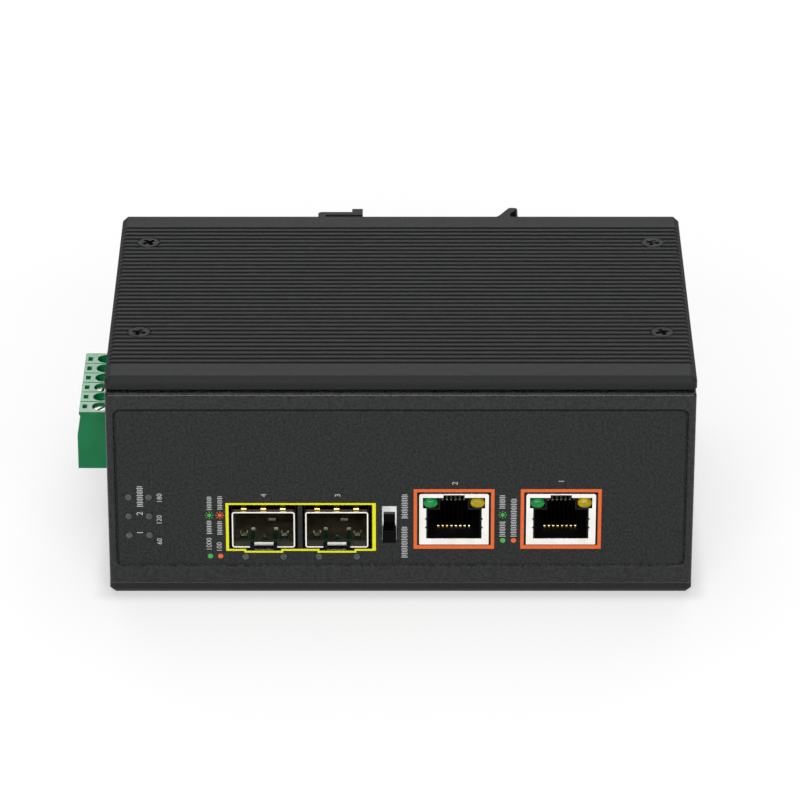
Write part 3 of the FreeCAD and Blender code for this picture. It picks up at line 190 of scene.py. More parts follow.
# Velvet polycarbonate label film, printed dark grey from behind: a dense pebbled face that
# scatters the room's light softly. Pebble and grain are drawn coarser than the real film's, so
# that they show.
def labelFilm(name, look):
    material, tree, shader, place = startMaterial(name, 0.0, look)
    pebble = addNode(tree, "ShaderNodeTexVoronoi", {"Scale": perSize(look["pebble"])},
                     {"Vector": place}).outputs["Distance"]
    grain = addNode(tree, "ShaderNodeTexNoise", {"Scale": perSize(look["grain"]), "Detail": 4.0,
                                                 "Roughness": 0.65}, {"Vector": place}).outputs[0]
    even = addNode(tree, "ShaderNodeMapRange", noiseRange, {"Value": grain}).outputs[0]
    tone = addNode(tree, "ShaderNodeMix", {"data_type": "RGBA", 6: look["dark"], 7: look["light"]},
                   {0: even}).outputs[2]
    both = addNode(tree, "ShaderNodeMath", {"operation": "ADD"}, {0: pebble, 1: grain})
    soft = addNode(tree, "ShaderNodeBevel", {"samples": 4, "Radius": look["edge"] * mm})
    bump = addNode(tree, "ShaderNodeBump", {"Strength": 0.5, "Distance": look["depth"] * mm},
                   {"Height": both.outputs[0], "Normal": soft.outputs[0]})
    tree.links.new(tone, shader.inputs["Base Color"])
    tree.links.new(bump.outputs[0], shader.inputs["Normal"])
    return material


# Screen ink on the film: the mesh of the screen shows as a slightly uneven, satin coat. It is
# drawn coarser than a real mesh, so that it shows.
inkSkin = {"mesh": 0.3, "meshDepth": 0.01, "roughness": 0.5, "specular": 0.3}


def screenInk(name, look):
    skin = inkSkin
    material, tree, shader, place = startMaterial(name, 0.0, skin)
    mesh = addNode(tree, "ShaderNodeTexNoise", {"Scale": perSize(skin["mesh"])},
                   {"Vector": place}).outputs[0]
    even = addNode(tree, "ShaderNodeMapRange", noiseRange, {"Value": mesh}).outputs[0]
    tone = addNode(tree, "ShaderNodeMix", {"data_type": "RGBA", 6: look["dark"], 7: look["light"]},
                   {0: even}).outputs[2]
    bump = addNode(tree, "ShaderNodeBump", {"Strength": 0.4, "Distance": skin["meshDepth"] * mm},
                   {"Height": mesh})
    tree.links.new(tone, shader.inputs["Base Color"])
    tree.links.new(bump.outputs[0], shader.inputs["Normal"])
    return material


# Solder mask on woven glass laminate: the weave shows as a faint grid in a glossy green skin,
# drawn a little coarser than real glass cloth, so that it shows.
maskSkin = {"cloud": 4.0, "weaveDepth": 0.01}


def solderMask(name, look):
    skin = maskSkin
    material, tree, shader, place = startMaterial(name, 0.0, look)
    weave = addNode(tree, "ShaderNodeTexChecker", {"Scale": perSize(look["weave"])},
                    {"Vector": place}).outputs["Fac"]
    cloud = addNode(tree, "ShaderNodeTexNoise", {"Scale": perSize(skin["cloud"])},
                    {"Vector": place}).outputs[0]
    tone = addNode(tree, "ShaderNodeMix", {"data_type": "RGBA", 6: look["dark"], 7: look["light"]},
                   {0: cloud}).outputs[2]
    bump = addNode(tree, "ShaderNodeBump", {"Strength": 0.3, "Distance": skin["weaveDepth"] * mm},
                   {"Height": weave})
    tree.links.new(tone, shader.inputs["Base Color"])
    tree.links.new(bump.outputs[0], shader.inputs["Normal"])
    return material


coatLook = {"dark": "#141516", "light": "#232425", "grit": 0.32, "depth": 0.03,
            "roughness": 0.64, "glossSpread": 0.08, "specular": 0.31, "edge": 0.15}
# on the front the grit is drawn about twice as coarse as a real coat's, so that it shows
bezelLook = {**coatLook, "dark": "#060707", "light": "#272829", "grit": 0.7, "depth": 0.1,
             "roughness": 0.3, "specular": 0.38}
filmLook = {"dark": "#191b1a", "light": "#353736", "pebble": 0.4, "grain": 0.56, "depth": 0.03,
            "roughness": 0.6, "specular": 0.2, "edge": 0.35}
greenLook = {"dark": "#07864a", "light": "#0f9055", "roughness": 0.16, "specular": 0.27}
blackLook = {"dark": "#070708", "light": "#0d0d0f", "roughness": 0.45, "specular": 0.14}
knobLook = {"dark": "#020203", "light": "#050506", "roughness": 0.55, "specular": 0.06}

materials = {
    # baked powder over ribbed steel: dull black, broken by a fine sparkle of grit
    "panel": powderCoat("blackPowderCoatRibbed", coatLook),
    # the same powder lies thicker on a casting: coarser grit and more shine
    "bezel": powderCoat("blackPowderCoatCast", bezelLook),
    # thin powder on folded sheet: evenly dull
    "chassis": powderCoat("blackPowderCoatSteel", {**coatLook, "grit": 0.3}),
    # powder over extruded aluminium: tight grit and crisper corners
    "bracket": powderCoat("blackPowderCoatExtruded", {**coatLook, "grit": 0.25, "edge": 0.1}),
    # reverse-printed film with a velvet face: flat dark grey, hardly any highlight
    "film": labelFilm("velvetPolycarbonateFilm", filmLook),
    # steel blackened in a hot bath: charcoal with a faint shine
    "blackScrew": platedSheet("blackOxideSteel", {"dark": "#1f1f21", "light": "#2e2f31",
                                                  "roughness": 0.5, "grain": (1, 1, 1)}),
    # barrel-plated zinc: pale blue-grey, slightly cloudy
    "zinc": platedSheet("zincPlatedSteel", {"dark": "#a9aaa6", "light": "#cfcfca",
                                            "roughness": 0.35, "grain": (1, 1, 1)}),
    # tinned and rolled sheet: nearly white, with soft lines along it
    "tin": platedSheet("tinPlatedSteelSheet", {"dark": "#f4f2ec", "light": "#fefdf9",
                                               "roughness": 0.3, "grain": (1, 0.1, 0.1)}),
    # plated after stamping: warm silver; painted light makes it palest round the mouth, where the
    # front light falls
    "cage": platedSheet("nickelPlatedSteelSheet", {"dark": "#b6ae90", "light": "#e4dcc4",
                                                   "roughness": 0.3, "grain": (1, 0.05, 1),
                                                   "metallic": 0.97,
                                                   "zones": [("Y", -43.3, -43.6, "#fffdf6")]}),
    # drawn bronze, gold only at the front bend, where the plug touches; painted shade turns it
    # nearly black behind and above the bend, and near its top it is dull bronze again
    "wire": platedSheet("goldTippedBronzeWire", {"dark": "#e2bd66", "light": "#fbeab0",
                                                 "roughness": 0.24, "grain": (1, 0.2, 1),
                                                 "zones": [("Y", -40.0, -39.8, "#15120c"),
                                                           ("Z", 15.6, 15.8, "#15120c"),
                                                           ("Z", 18.1, 18.3, "#8a8270")]}),
    # stamped bronze strip, gold on the tops of the fingers; painted shade turns it nearly black
    # below them
    "collar": platedSheet("bronzeStripPaintedShade", {"dark": "#d3a548", "light": "#f6d882",
                                              "roughness": 0.3, "grain": (1, 0.2, 1),
                                              "zones": [("Z", 22.85, 22.75, "#2a2010")]}),
    # flashed bronze at the bends: clean yellow metal
    "gold": platedSheet("goldFlashedBronze", {"dark": "#e0b65a", "light": "#fbe29a",
                                              "roughness": 0.3, "grain": (1, 0.2, 1)}),
    # drawn and turned brass: duller yellow, with faint lines up the post
    "brass": platedSheet("turnedBrass", {"dark": "#b3914f", "light": "#d9bd7c",
                                         "roughness": 0.3, "grain": (1, 1, 0.1)}),
    # drawn and tempered steel: plain grey with a soft sheen
    "spring": platedSheet("drawnSpringSteel", {"dark": "#8d8f90", "light": "#b9bbbb",
                                               "roughness": 0.3, "grain": (1, 1, 0.1)}),
    # stamped steel under nickel: bright on its front face, with painted shade darkening it behind
    # that face
    "switchSteel": platedSheet("nickelPlatedSwitchSteel", {"dark": "#c9cac9", "light": "#f2f2f0",
                                                           "roughness": 0.25,
                                                           "grain": (0.1, 1, 1),
                                                           "zones": [("Y", -44.75, -44.65,
                                                                      "#4c4d4f")]}),
    # sawn bar: pale grey with cut lines across it
    "aluminium": platedSheet("sawnAluminium", {"dark": "#a3a5a8", "light": "#cdd0d2",
                                               "roughness": 0.4, "grain": (0.1, 1, 1)}),
    # drawn can in a shrunk plastic sleeve: dark blue with a metal glint
    "can": platedSheet("sleevedAluminiumCan", {"dark": "#1c2436", "light": "#303c55",
                                               "roughness": 0.35, "grain": (1, 1, 1)}),
    # glass fibre near the surface keeps this moulding dull and nearly black
    "blackPlastic": mouldedPlastic("blackGlassFilledPolyester", blackLook),
    # textured mould: the blackest piece, without a highlight
    "knob": mouldedPlastic("mattBlackNylon", knobLook),
    # polished mould: strong green with pale reflections on its upper faces
    "green": mouldedPlastic("greenPolyamide", greenLook),
    # wound film tape: amber, slightly glossy
    "tape": mouldedPlastic("polyesterTape", {"dark": "#b8941f", "light": "#dcb935",
                                             "roughness": 0.3}),
    # silicone filled with ceramic powder: chalky grey-blue
    "siliconePad": mouldedPlastic("filledSilicone", {"dark": "#6f8791", "light": "#8ba3ad",
                                                     "roughness": 0.7, "specular": 0.3}),
    # pressed and fired powder: dark grey, dull
    "ferrite": mouldedPlastic("pressedFerrite", {"dark": "#2c2c2f", "light": "#46464a",
                                                 "roughness": 0.6}),
    # cast epoxy, tinted right through: an even colour that stays rich when its lamp is off
    "greenLens": castLens("greenEpoxyLens", {"dark": "#047a36", "light": "#0e9a44",
                                             "roughness": 0.2, "specular": 0.3, "coat": 0.05}),
    "yellowLens": castLens("yellowEpoxyLens", {"dark": "#9c8900", "light": "#c2ad00",
                                               "roughness": 0.2, "specular": 0.3, "coat": 0.05}),
    # clear acrylic over a lamp that is off: smoky grey
    "lightPipe": castLens("clearAcrylicUnlit", {"dark": "#3a3b3c", "light": "#4d4e50",
                                                "roughness": 0.4, "coat": 0.2}),
    # coated laminate: deep green with a shine
    "laminate": solderMask("greenSolderMask", {"dark": "#0a2517", "light": "#103521",
                                               "weave": 0.7, "roughness": 0.35}),
    # printed inks: flat, opaque colours
    "yellowInk": screenInk("yellowScreenInk", {"dark": "#eeec12", "light": "#fdfc26"}),
    "orangeInk": screenInk("orangeScreenInk", {"dark": "#ee6630", "light": "#fd7a3c"}),
    "greenInk": screenInk("greenScreenInk", {"dark": "#3fa94c", "light": "#58c466"}),
    "greyInk": screenInk("lightGreyScreenInk", {"dark": "#b4b6b5", "light": "#d0d2d1"}),
}
print("materials ready:", len(materials))

nodeMaterials = {
    "top_side_panel": "panel", "bottom_side_panel": "panel", "chassis_frame": "chassis",
    "front_bezel": "bezel", "front_overlay": "film", "bezel_screws": "zinc",
    "main_board": "laminate", "board_standoffs": "brass", "board_screws": "zinc",
    "green_port_lights": "greenLens", "yellow_port_lights": "yellowLens",
    "mode_switch_shell": "switchSteel", "mode_switch_base": "blackPlastic",
    "mode_switch_knob": "knob", "status_light_block": "blackPlastic",
    "status_light_lenses": "lightPipe", "fibre_light_pipes": "lightPipe",
    "terminal_header": "green", "terminal_header_pins": "zinc", "terminal_plug_body": "green",
    "terminal_clamp_cages": "zinc", "terminal_clamp_screws": "zinc",
    "terminal_socket_contacts": "zinc", "rail_bracket": "bracket",
    "rail_bracket_screws": "blackScrew", "rail_spring": "spring", "transformer_core": "ferrite",
    "transformer_winding": "tape", "power_inductors": "ferrite", "smoothing_capacitors": "can",
    "network_chip": "blackPlastic", "power_chip": "blackPlastic", "heat_block": "aluminium",
    "thermal_pad": "siliconePad", "top_panel_screws": "blackScrew",
    "bottom_panel_screws": "blackScrew",
}
for port in ("port_1", "port_2"):
    nodeMaterials[port + "_shield"] = "tin"
    nodeMaterials[port + "_insert"] = "blackPlastic"
    nodeMaterials[port + "_contacts"] = "wire"
for port in ("port_3", "port_4"):
    nodeMaterials[port + "_cage"] = "cage"
    nodeMaterials[port + "_spring_collar"] = "collar"
    nodeMaterials[port + "_host_connector"] = "blackPlastic"

for node, finish in nodeMaterials.items():
    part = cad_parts[node]
    part.data.materials.clear()
    part.data.materials.append(materials[finish])
print("finishes on", len(nodeMaterials), "construction pieces")


def addPiece(name, mesh, finish, body="housing", smooth=False):
    # a new piece in its finish, riding on a body
    data = bpy.data.meshes.new(name)
    bmesh.ops.recalc_face_normals(mesh, faces=mesh.faces)
    mesh.to_mesh(data)
    mesh.free()
    piece = bpy.data.objects.new(name, data)
    bpy.context.scene.collection.objects.link(piece)
    data.materials.append(materials[finish])
    if smooth:
        data.shade_smooth()
    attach(piece, body)
    return piece


def loft(mesh, rings):
    # quads from each ring of points to the next; gives back the first and last rings
    loops = [[mesh.verts.new(point) for point in ring] for ring in rings]
    for near, far in zip(loops, loops[1:]):
        for i in range(len(near)):
            j = (i + 1) % len(near)
            mesh.faces.new((near[i], near[j], far[j], far[i]))
    return loops[0], loops[-1]


# Countersunk cross-recess screws, M3: the socket is pressed in with a slight taper.
screwLook = {"headRadius": 2.66, "edge": 0.12, "coneDepth": 1.16, "shankRadius": 1.45,
             "armLength": 1.6, "armWidth": 0.52, "socketDepth": 1.5, "socketTaper": 0.55,
             "armTaper": 0.6, "sides": 40, "twists": (37, 11)}


def screwRing(radius, depth, place):
    # a round ring of the head or the shank
    turn = 2 * math.pi / screwLook["sides"]
    return [place @ Vector((radius * mm * math.cos(i * turn), radius * mm * math.sin(i * turn),
                            -depth * mm)) for i in range(screwLook["sides"])]


def crossRing(scale, depth, place):
    # the outline of the socket; its arms get narrower more slowly than they get shorter
    look = screwLook
    long = look["armLength"] * scale
    wide = look["armWidth"] * (1 - look["armTaper"] * (1 - scale))
    corner = [(long, -wide), (long, wide), (wide, wide)]
    points = []
    for quarter in range(4):
        turn = Matrix.Rotation(quarter * math.pi / 2, 4, "Z")
        points += [place @ (turn @ Vector((x * mm, y * mm, -depth * mm))) for x, y in corner]
    return points


def addScrew(mesh, place, length):
    look = screwLook
    head = [(look["headRadius"] - look["edge"], 0.0), (look["headRadius"], look["edge"]),
            (look["shankRadius"], look["edge"] + look["coneDepth"]),
            (look["shankRadius"], length)]
    top, bottom = loft(mesh, [screwRing(r, z, place) for r, z in head])
    mesh.faces.new(bottom)
    rim, base = loft(mesh, [crossRing(1.0, 0.0, place),
                            crossRing(look["socketTaper"], look["socketDepth"], place)])
    mesh.faces.new(base)
    edges = [mesh.edges.get((ring[i], ring[(i + 1) % len(ring)]))
             for ring in (top, rim) for i in range(len(ring))]
    bmesh.ops.triangle_fill(mesh, edges=edges, use_beauty=True)


def addScrewSet(name, node, axis, face):
    # one screw at each corner of the construction's set; the head's face is at the given height
    low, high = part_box(node)
    across = [k for k in range(3) if k != axis]
    inset, length = screwLook["headRadius"] * mm, (high[axis] - low[axis]) / mm
    alongFirst, alongSecond = screwLook["twists"]
    mesh = bmesh.new()
    for a in (low[across[0]] + inset, high[across[0]] - inset):
        for b in (low[across[1]] + inset, high[across[1]] - inset):
            centre = [0, 0, 0]
            centre[axis], centre[across[0]], centre[across[1]] = face, a, b
            outward = Vector([0, 0, 0])
            outward[axis] = 1 if face > 0.5 * (low[axis] + high[axis]) else -1
            turn = outward.to_track_quat("Z", "Y").to_matrix().to_4x4()
            # each screw is left at an angle of its own
            twist = Matrix.Rotation(alongFirst * a / mm + alongSecond * b / mm, 4, "Z")
            addScrew(mesh, Matrix.Translation(centre) @ turn @ twist, length)
    piece = addPiece(name, mesh, "blackScrew")
    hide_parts(node)


addScrewSet("topPanelScrewHeads", "top_panel_screws", 2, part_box("top_panel_screws")[1][2])
addScrewSet("bottomPanelScrewHeads", "bottom_panel_screws", 2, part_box("bottom_panel_screws")[0][2])
addScrewSet("railBracketScrewHeads", "rail_bracket_screws", 1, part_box("rail_bracket_screws")[1][1])
print("screws ready")


# Indicator lenses in the two copper ports: cast epoxy with a full, bulging face.
lensLook = {"fromMiddle": 5.425, "width": 3.3, "height": 2.4, "bulge": 0.85, "corner": 2.15,
            "forward": 0.9, "tipCut": 0.6, "sides": 32, "rings": 9}


def lensRing(centre, y, scale):
    # a rounded rectangle: the higher "corner" is, the squarer it gets
    look, points = lensLook, []
    for i in range(look["sides"]):
        angle = 2 * math.pi * i / look["sides"]
        c, s = math.cos(angle), math.sin(angle)
        x = math.copysign(abs(c) ** (2 / look["corner"]), c) * look["width"] / 2 * mm * scale
        z = math.copysign(abs(s) ** (2 / look["corner"]), s) * look["height"] / 2 * mm * scale
        points.append(Vector((centre[0] + x, y, centre[1] + z)))
    return points


def addLenses(name, node, side, finish):
    look, mesh = lensLook, bmesh.new()
    low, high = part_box(node)
    for port in ("port_1_shield", "port_2_shield"):
        shieldLow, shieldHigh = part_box(port)
        middle = (shieldLow[0] + shieldHigh[0]) / 2 + side * look["fromMiddle"] * mm
        centre = (middle, (low[2] + high[2]) / 2)
        rings = [lensRing(centre, high[1], 1.0)]
        for k in range(look["rings"]):
            angle = math.pi / 2 * k / (look["rings"] - look["tipCut"])  # stops short of the tip
            y = low[1] - look["forward"] * mm + look["bulge"] * mm * (1 - math.sin(angle))
            rings.append(lensRing(centre, y, math.cos(angle)))
        back, tip = loft(mesh, rings)
        mesh.faces.new(back)
        mesh.faces.new(tip)
    piece = addPiece(name, mesh, finish, smooth=True)
    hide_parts(node)


# Slotted clamp screws in the power plug, left at different heights in their wells.
clampLook = {"radius": 1.9, "edge": 0.25, "slotWidth": 0.6, "slotDepth": 0.7, "sides": 32,
             "arcSteps": 14, "tops": (27.2, 26.0, 27.1, 26.4, 25.4, 25.2),
             "turns": (52, 20, 75, 10, 40, 65)}


def addClampScrews():
    look, mesh = clampLook, bmesh.new()
    low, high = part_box("terminal_clamp_screws")
    count = len(look["tops"])
    step = (high[1] - low[1] - 2 * look["radius"] * mm) / (count - 1)
    for k, (top, turn) in enumerate(zip(look["tops"], look["turns"])):
        centre = ((low[0] + high[0]) / 2, low[1] + look["radius"] * mm + k * step)
        half, r = look["slotWidth"] / 2, look["radius"] - look["edge"]
        spin = Matrix.Rotation(math.radians(turn), 4, "Z")
        place = Matrix.Translation((centre[0], centre[1], 0)) @ spin
        start = math.asin(half / r)
        for side in (0, math.pi):
            # each half of the head is a segment beside the slot
            angles = [side + start + (math.pi - 2 * start) * i / look["arcSteps"]
                      for i in range(look["arcSteps"] + 1)]
            outline = [(r * math.cos(a), r * math.sin(a)) for a in angles]
            wide = [(x * look["radius"] / r, y * look["radius"] / r) for x, y in outline]
            rings = [[place @ Vector((x * mm, y * mm, z * mm)) for x, y in points]
                     for points, z in ((outline, top), (wide, top - look["edge"]),
                                       (wide, top - look["slotDepth"]))]
            near, far = loft(mesh, rings)
            mesh.faces.new(near)
            mesh.faces.new(far)
        around = [2 * math.pi * i / look["sides"] for i in range(look["sides"])]
        body = [[place @ Vector((look["radius"] * mm * math.cos(a),
                                 look["radius"] * mm * math.sin(a), z)) for a in around]
                for z in ((top - look["slotDepth"]) * mm, low[2])]
        near, far = loft(mesh, body)
        mesh.faces.new(near)
        mesh.faces.new(far)
    piece = addPiece("terminalClampScrewHeads", mesh, "zinc", "terminal_plug")
    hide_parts("terminal_clamp_screws")


# Front bends of the cages' spring fingers, three above each cage.
fingerLook = {"spacing": 4.5, "width": 1.25, "radius": 0.5, "sheet": 0.12, "fromMouth": 1.2,
              "below": 0.9, "steps": 8}


def addFingerTips():
    look, mesh = fingerLook, bmesh.new()
    for port in ("port_3", "port_4"):
        low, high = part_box(port + "_cage")
        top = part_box(port + "_spring_collar")[1][2] - look["below"] * mm
        for k in (-1, 0, 1):
            x = (low[0] + high[0]) / 2 + k * look["spacing"] * mm
            rings = []
            for i in range(look["steps"] + 1):
                angle = math.pi * i / look["steps"]
                ring = []
                # two corners on the outer face of the strip, then two on the inner face
                for inner, side in ((0, -1), (0, 1), (1, 1), (1, -1)):
                    reach = (look["radius"] - inner * look["sheet"]) * mm
                    ring.append(Vector((x + side * look["width"] / 2 * mm,
                                        low[1] + look["fromMouth"] * mm - reach * math.cos(angle),
                                        top + reach * math.sin(angle))))
                rings.append(ring)
            near, far = loft(mesh, rings)
            mesh.faces.new(near)
            mesh.faces.new(far)
    addPiece("springFingerTips", mesh, "gold")


addClampScrews()
addFingerTips()
addLenses("greenPortLenses", "green_port_lights", -1, "greenLens")
addLenses("yellowPortLenses", "yellow_port_lights", 1, "yellowLens")
print("clamp screws, finger tips and lenses ready")


# Printing on the film. Places are millimetres from the middle (X) and the lowest point (Z) of the
# piece that each mark belongs to.
inkThickness = 0.02
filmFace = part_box("front_overlay")[0][1]


def spot(node, x, z):
    low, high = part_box(node)
    return ((low[0] + high[0]) / 2 / mm + x, low[2] / mm + z)


def inkOutline(mesh, outline):
    # a flat patch of ink from points in millimetres
    face = mesh.faces.new([mesh.verts.new((x * mm, filmFace, z * mm)) for x, z in outline])
    return [face]


def inkRectangles(mesh, rectangles):
    # patches that touch are joined into one sheet, cell by cell
    xs = sorted({round(v, 4) for r in rectangles for v in (r[0], r[2])})
    zs = sorted({round(v, 4) for r in rectangles for v in (r[1], r[3])})
    points, faces = {}, []
    for x0, x1 in zip(xs, xs[1:]):
        for z0, z1 in zip(zs, zs[1:]):
            x, z = (x0 + x1) / 2, (z0 + z1) / 2
            if not any(r[0] < x < r[2] and r[1] < z < r[3] for r in rectangles):
                continue
            corners = [(x0, z0), (x1, z0), (x1, z1), (x0, z1)]
            for c in corners:
                if c not in points:
                    points[c] = mesh.verts.new((c[0] * mm, filmFace, c[1] * mm))
            faces.append(mesh.faces.new([points[c] for c in corners]))
    return faces


def finishInk(name, mesh, faces, finish):
    # gives the patches their thickness, outwards from the film
    rim = [tuple(edge.verts) for edge in mesh.edges if edge.is_boundary]
    raised = {v: mesh.verts.new((v.co.x, v.co.y - inkThickness * mm, v.co.z))
              for v in list(mesh.verts)}
    for face in faces:
        mesh.faces.new([raised[v] for v in face.verts])
    for a, b in rim:
        mesh.faces.new((a, b, raised[b], raised[a]))
    return addPiece(name, mesh, finish)


def circle(centre, radius, sides=20):
    return [(centre[0] + radius * math.cos(2 * math.pi * i / sides),
             centre[1] + radius * math.sin(2 * math.pi * i / sides)) for i in range(sides)]


# Yellow frame round both module cages, open at each latch tab and with a step below it.
yellowFrame = {"left": 1.42, "right": 1.75, "top": 2.17, "bottom": 0.55, "openLeft": 0.75,
               "openRight": 0.95, "openTop": 1.7, "openBottom": 0.05, "tabHalf": 4.5,
               "tabDrop": 0.48, "openTabHalf": 4.05}


def addYellowFrame():
    look, mesh = yellowFrame, bmesh.new()
    low4, high4 = [[v / mm for v in c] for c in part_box("port_4_cage")]
    low3, high3 = [[v / mm for v in c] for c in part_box("port_3_cage")]
    x0, x1 = low4[0] - look["left"], high3[0] + look["right"]
    z0, z1 = low4[2] - look["bottom"], high4[2] + look["top"]
    inLeft, inRight = low4[0] - look["openLeft"], high3[0] + look["openRight"]
    inTop, inBottom = high4[2] + look["openTop"], low4[2] - look["openBottom"]
    bars = [(x0, z0, inLeft, z1), (inRight, z0, x1, z1), (inLeft, inTop, inRight, z1)]
    edge = inLeft
    for low, high in ((low4, high4), (low3, high3)):
        middle = (low[0] + high[0]) / 2
        tab, opening = look["tabHalf"], look["openTabHalf"]
        bars += [(edge, z0, middle - opening, inBottom),
                 (middle - tab, z0 - look["tabDrop"], middle + tab, z0)]
        edge = middle + opening
    bars.append((edge, z0, inRight, inBottom))
    finishInk("yellowCageFrame", mesh, inkRectangles(mesh, bars), "yellowInk")


# Orange frame round each copper port.
orangeFrame = {"outerSide": 1.29, "innerSide": 0.52, "outerTop": 1.2, "innerTop": 0.42,
               "outerBottom": 1.2, "innerBottom": 0.25}


def addOrangeFrames():
    look, mesh, bars = orangeFrame, bmesh.new(), []
    for port in ("port_1_shield", "port_2_shield"):
        low, high = [[v / mm for v in c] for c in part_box(port)]
        x0, x1 = low[0] - look["outerSide"], high[0] + look["outerSide"]
        x2, x3 = low[0] - look["innerSide"], high[0] + look["innerSide"]
        z0, z1 = low[2] - look["outerBottom"], high[2] + look["outerTop"]
        z2, z3 = low[2] - look["innerBottom"], high[2] + look["innerTop"]
        bars += [(x0, z0, x2, z1), (x3, z0, x1, z1), (x2, z0, x3, z2), (x2, z3, x3, z1)]
    finishInk("orangePortFrames", mesh, inkRectangles(mesh, bars), "orangeInk")


# Round dots, and suns that stand for blinking, in two colours.
symbolLook = {"dot": 0.62, "sun": 0.44, "rayFrom": 0.66, "rayTo": 0.98, "rayWidth": 0.2, "rays": 8}
symbols = {
    "greenSymbols": ("greenInk", [("port_4_cage", -12.37, -1.93), ("port_2_shield", 11.3, 1.0)],
                     [("port_4_cage", -12.48, 8.77), ("port_2_shield", 11.23, 7.7)]),
    "orangeSymbols": ("orangeInk", [("port_4_cage", -10.0, -1.93), ("port_2_shield", 13.8, 1.0)],
                      [("port_4_cage", -10.06, 8.77)]),
}


def addSymbols(name, finish, dots, suns):
    look, mesh, faces = symbolLook, bmesh.new(), []
    for place in dots:
        faces += inkOutline(mesh, circle(spot(*place), look["dot"]))
    for place in suns:
        x, z = spot(*place)
        faces += inkOutline(mesh, circle((x, z), look["sun"]))
        for k in range(look["rays"]):
            turn = Matrix.Rotation(2 * math.pi * k / look["rays"], 2)
            half = look["rayWidth"] / 2
            ray = [turn @ Vector(p) for p in ((look["rayFrom"], -half), (look["rayTo"], -half),
                                              (look["rayTo"], half), (look["rayFrom"], half))]
            faces += inkOutline(mesh, [(x + p[0], z + p[1]) for p in ray])
    finishInk(name, mesh, faces, finish)


# Plain numbers, read from the right-hand side of the front: text, owner, place, cap height.
numbers = [("1", "port_1_shield", 0.05, 16.47, 1.33), ("2", "port_2_shield", 0.25, 15.92, 1.33),
           ("3", "port_3_cage", 0.3, 13.99, 1.33), ("4", "port_4_cage", 0.2, 13.99, 1.33),
           ("1", "status_light_lenses", 0.25, 1.5, 1.5),
           ("2", "status_light_lenses", 0.3, 6.5, 1.5),
           ("60", "status_light_lenses", 4.72, -0.8, 1.2),
           ("120", "status_light_lenses", 4.75, 4.85, 1.2),
           ("180", "status_light_lenses", 4.9, 10.5, 1.2),
           ("1000", "port_4_cage", -12.58, 1.2, 1.25), ("100", "port_4_cage", -10.2, 0.45, 1.25)]
capShare = 0.73  # cap height of the built-in typeface per unit of size


def addNumbers():
    mesh = bmesh.new()
    for text, node, x, z, cap in numbers:
        curve = bpy.data.curves.new("number", "FONT")
        curve.body, curve.align_x, curve.align_y = text, "CENTER", "CENTER"
        curve.size = cap / capShare * mm
        curve.extrude = inkThickness / 2 * mm
        sign = bpy.data.objects.new("number", curve)
        flat = bpy.data.meshes.new_from_object(sign)
        across, up = spot(node, x, z)
        # text runs up the front: its own right is +Z, its top is -X, its face is -Y
        turn = Matrix(((0, -1, 0), (0, 0, -1), (1, 0, 0))).to_4x4()
        middle = (across * mm, filmFace - inkThickness / 2 * mm, up * mm)
        flat.transform(Matrix.Translation(middle) @ turn)
        mesh.from_mesh(flat)
        bpy.data.objects.remove(sign)
        bpy.data.curves.remove(curve)
        bpy.data.meshes.remove(flat)
    addPiece("printedNumbers", mesh, "greyInk")


# Short strokes in a row where the legends run: owner, X, first and last Z, width.
strokes = [("status_light_lenses", 0.35, 8.3, 13.4, 1.5), ("port_4_cage", -12.55, 3.9, 7.3, 1.2),
           ("port_4_cage", -12.45, 10.2, 13.75, 1.2), ("port_4_cage", -10.1, 3.75, 7.3, 1.2),
           ("port_4_cage", -10.0, 10.3, 13.75, 1.2), ("mode_switch_shell", 3.5, -2.8, 5.45, 1.5),
           ("mode_switch_shell", 3.55, 7.5, 13.55, 1.5), ("port_2_shield", 11.2, 2.0, 5.7, 1.4),
           ("port_2_shield", 11.15, 9.35, 12.95, 1.4), ("port_2_shield", 13.8, 2.0, 11.85, 1.4)]
strokeLook = {"pitch": 0.46, "thickness": 0.22, "lengths": (1.0, 0.8)}


def addStrokes():
    look, mesh, faces = strokeLook, bmesh.new(), []
    for node, x, first, last, width in strokes:
        for k in range(int((last - first) / look["pitch"]) + 1):
            across, up = spot(node, x, first + k * look["pitch"])
            half = width / 2 * look["lengths"][k % len(look["lengths"])]
            over = up + look["thickness"]
            faces += inkOutline(mesh, [(across - half, up), (across + half, up),
                                       (across + half, over), (across - half, over)])
    finishInk("printedStrokes", mesh, faces, "greyInk")


addYellowFrame()
addOrangeFrames()
for name, (finish, dots, suns) in symbols.items():
    addSymbols(name, finish, dots, suns)
addNumbers()
addStrokes()
print("printing ready")


# Pale floor and soft studio light. The floor looks white to the eye and in reflections, and
# gives less light back to the object than it shows.
# the last two values paint a contact shadow into the floor's glow round the object's footprint
floorLook = {"glow": 0.6, "shown": "#afafaf", "bounce": "#8c8c8c", "half": 4.0,
             "paleTo": 1.1, "darkFrom": 2.2, "contact": 0.75, "contactReach": 5.0}


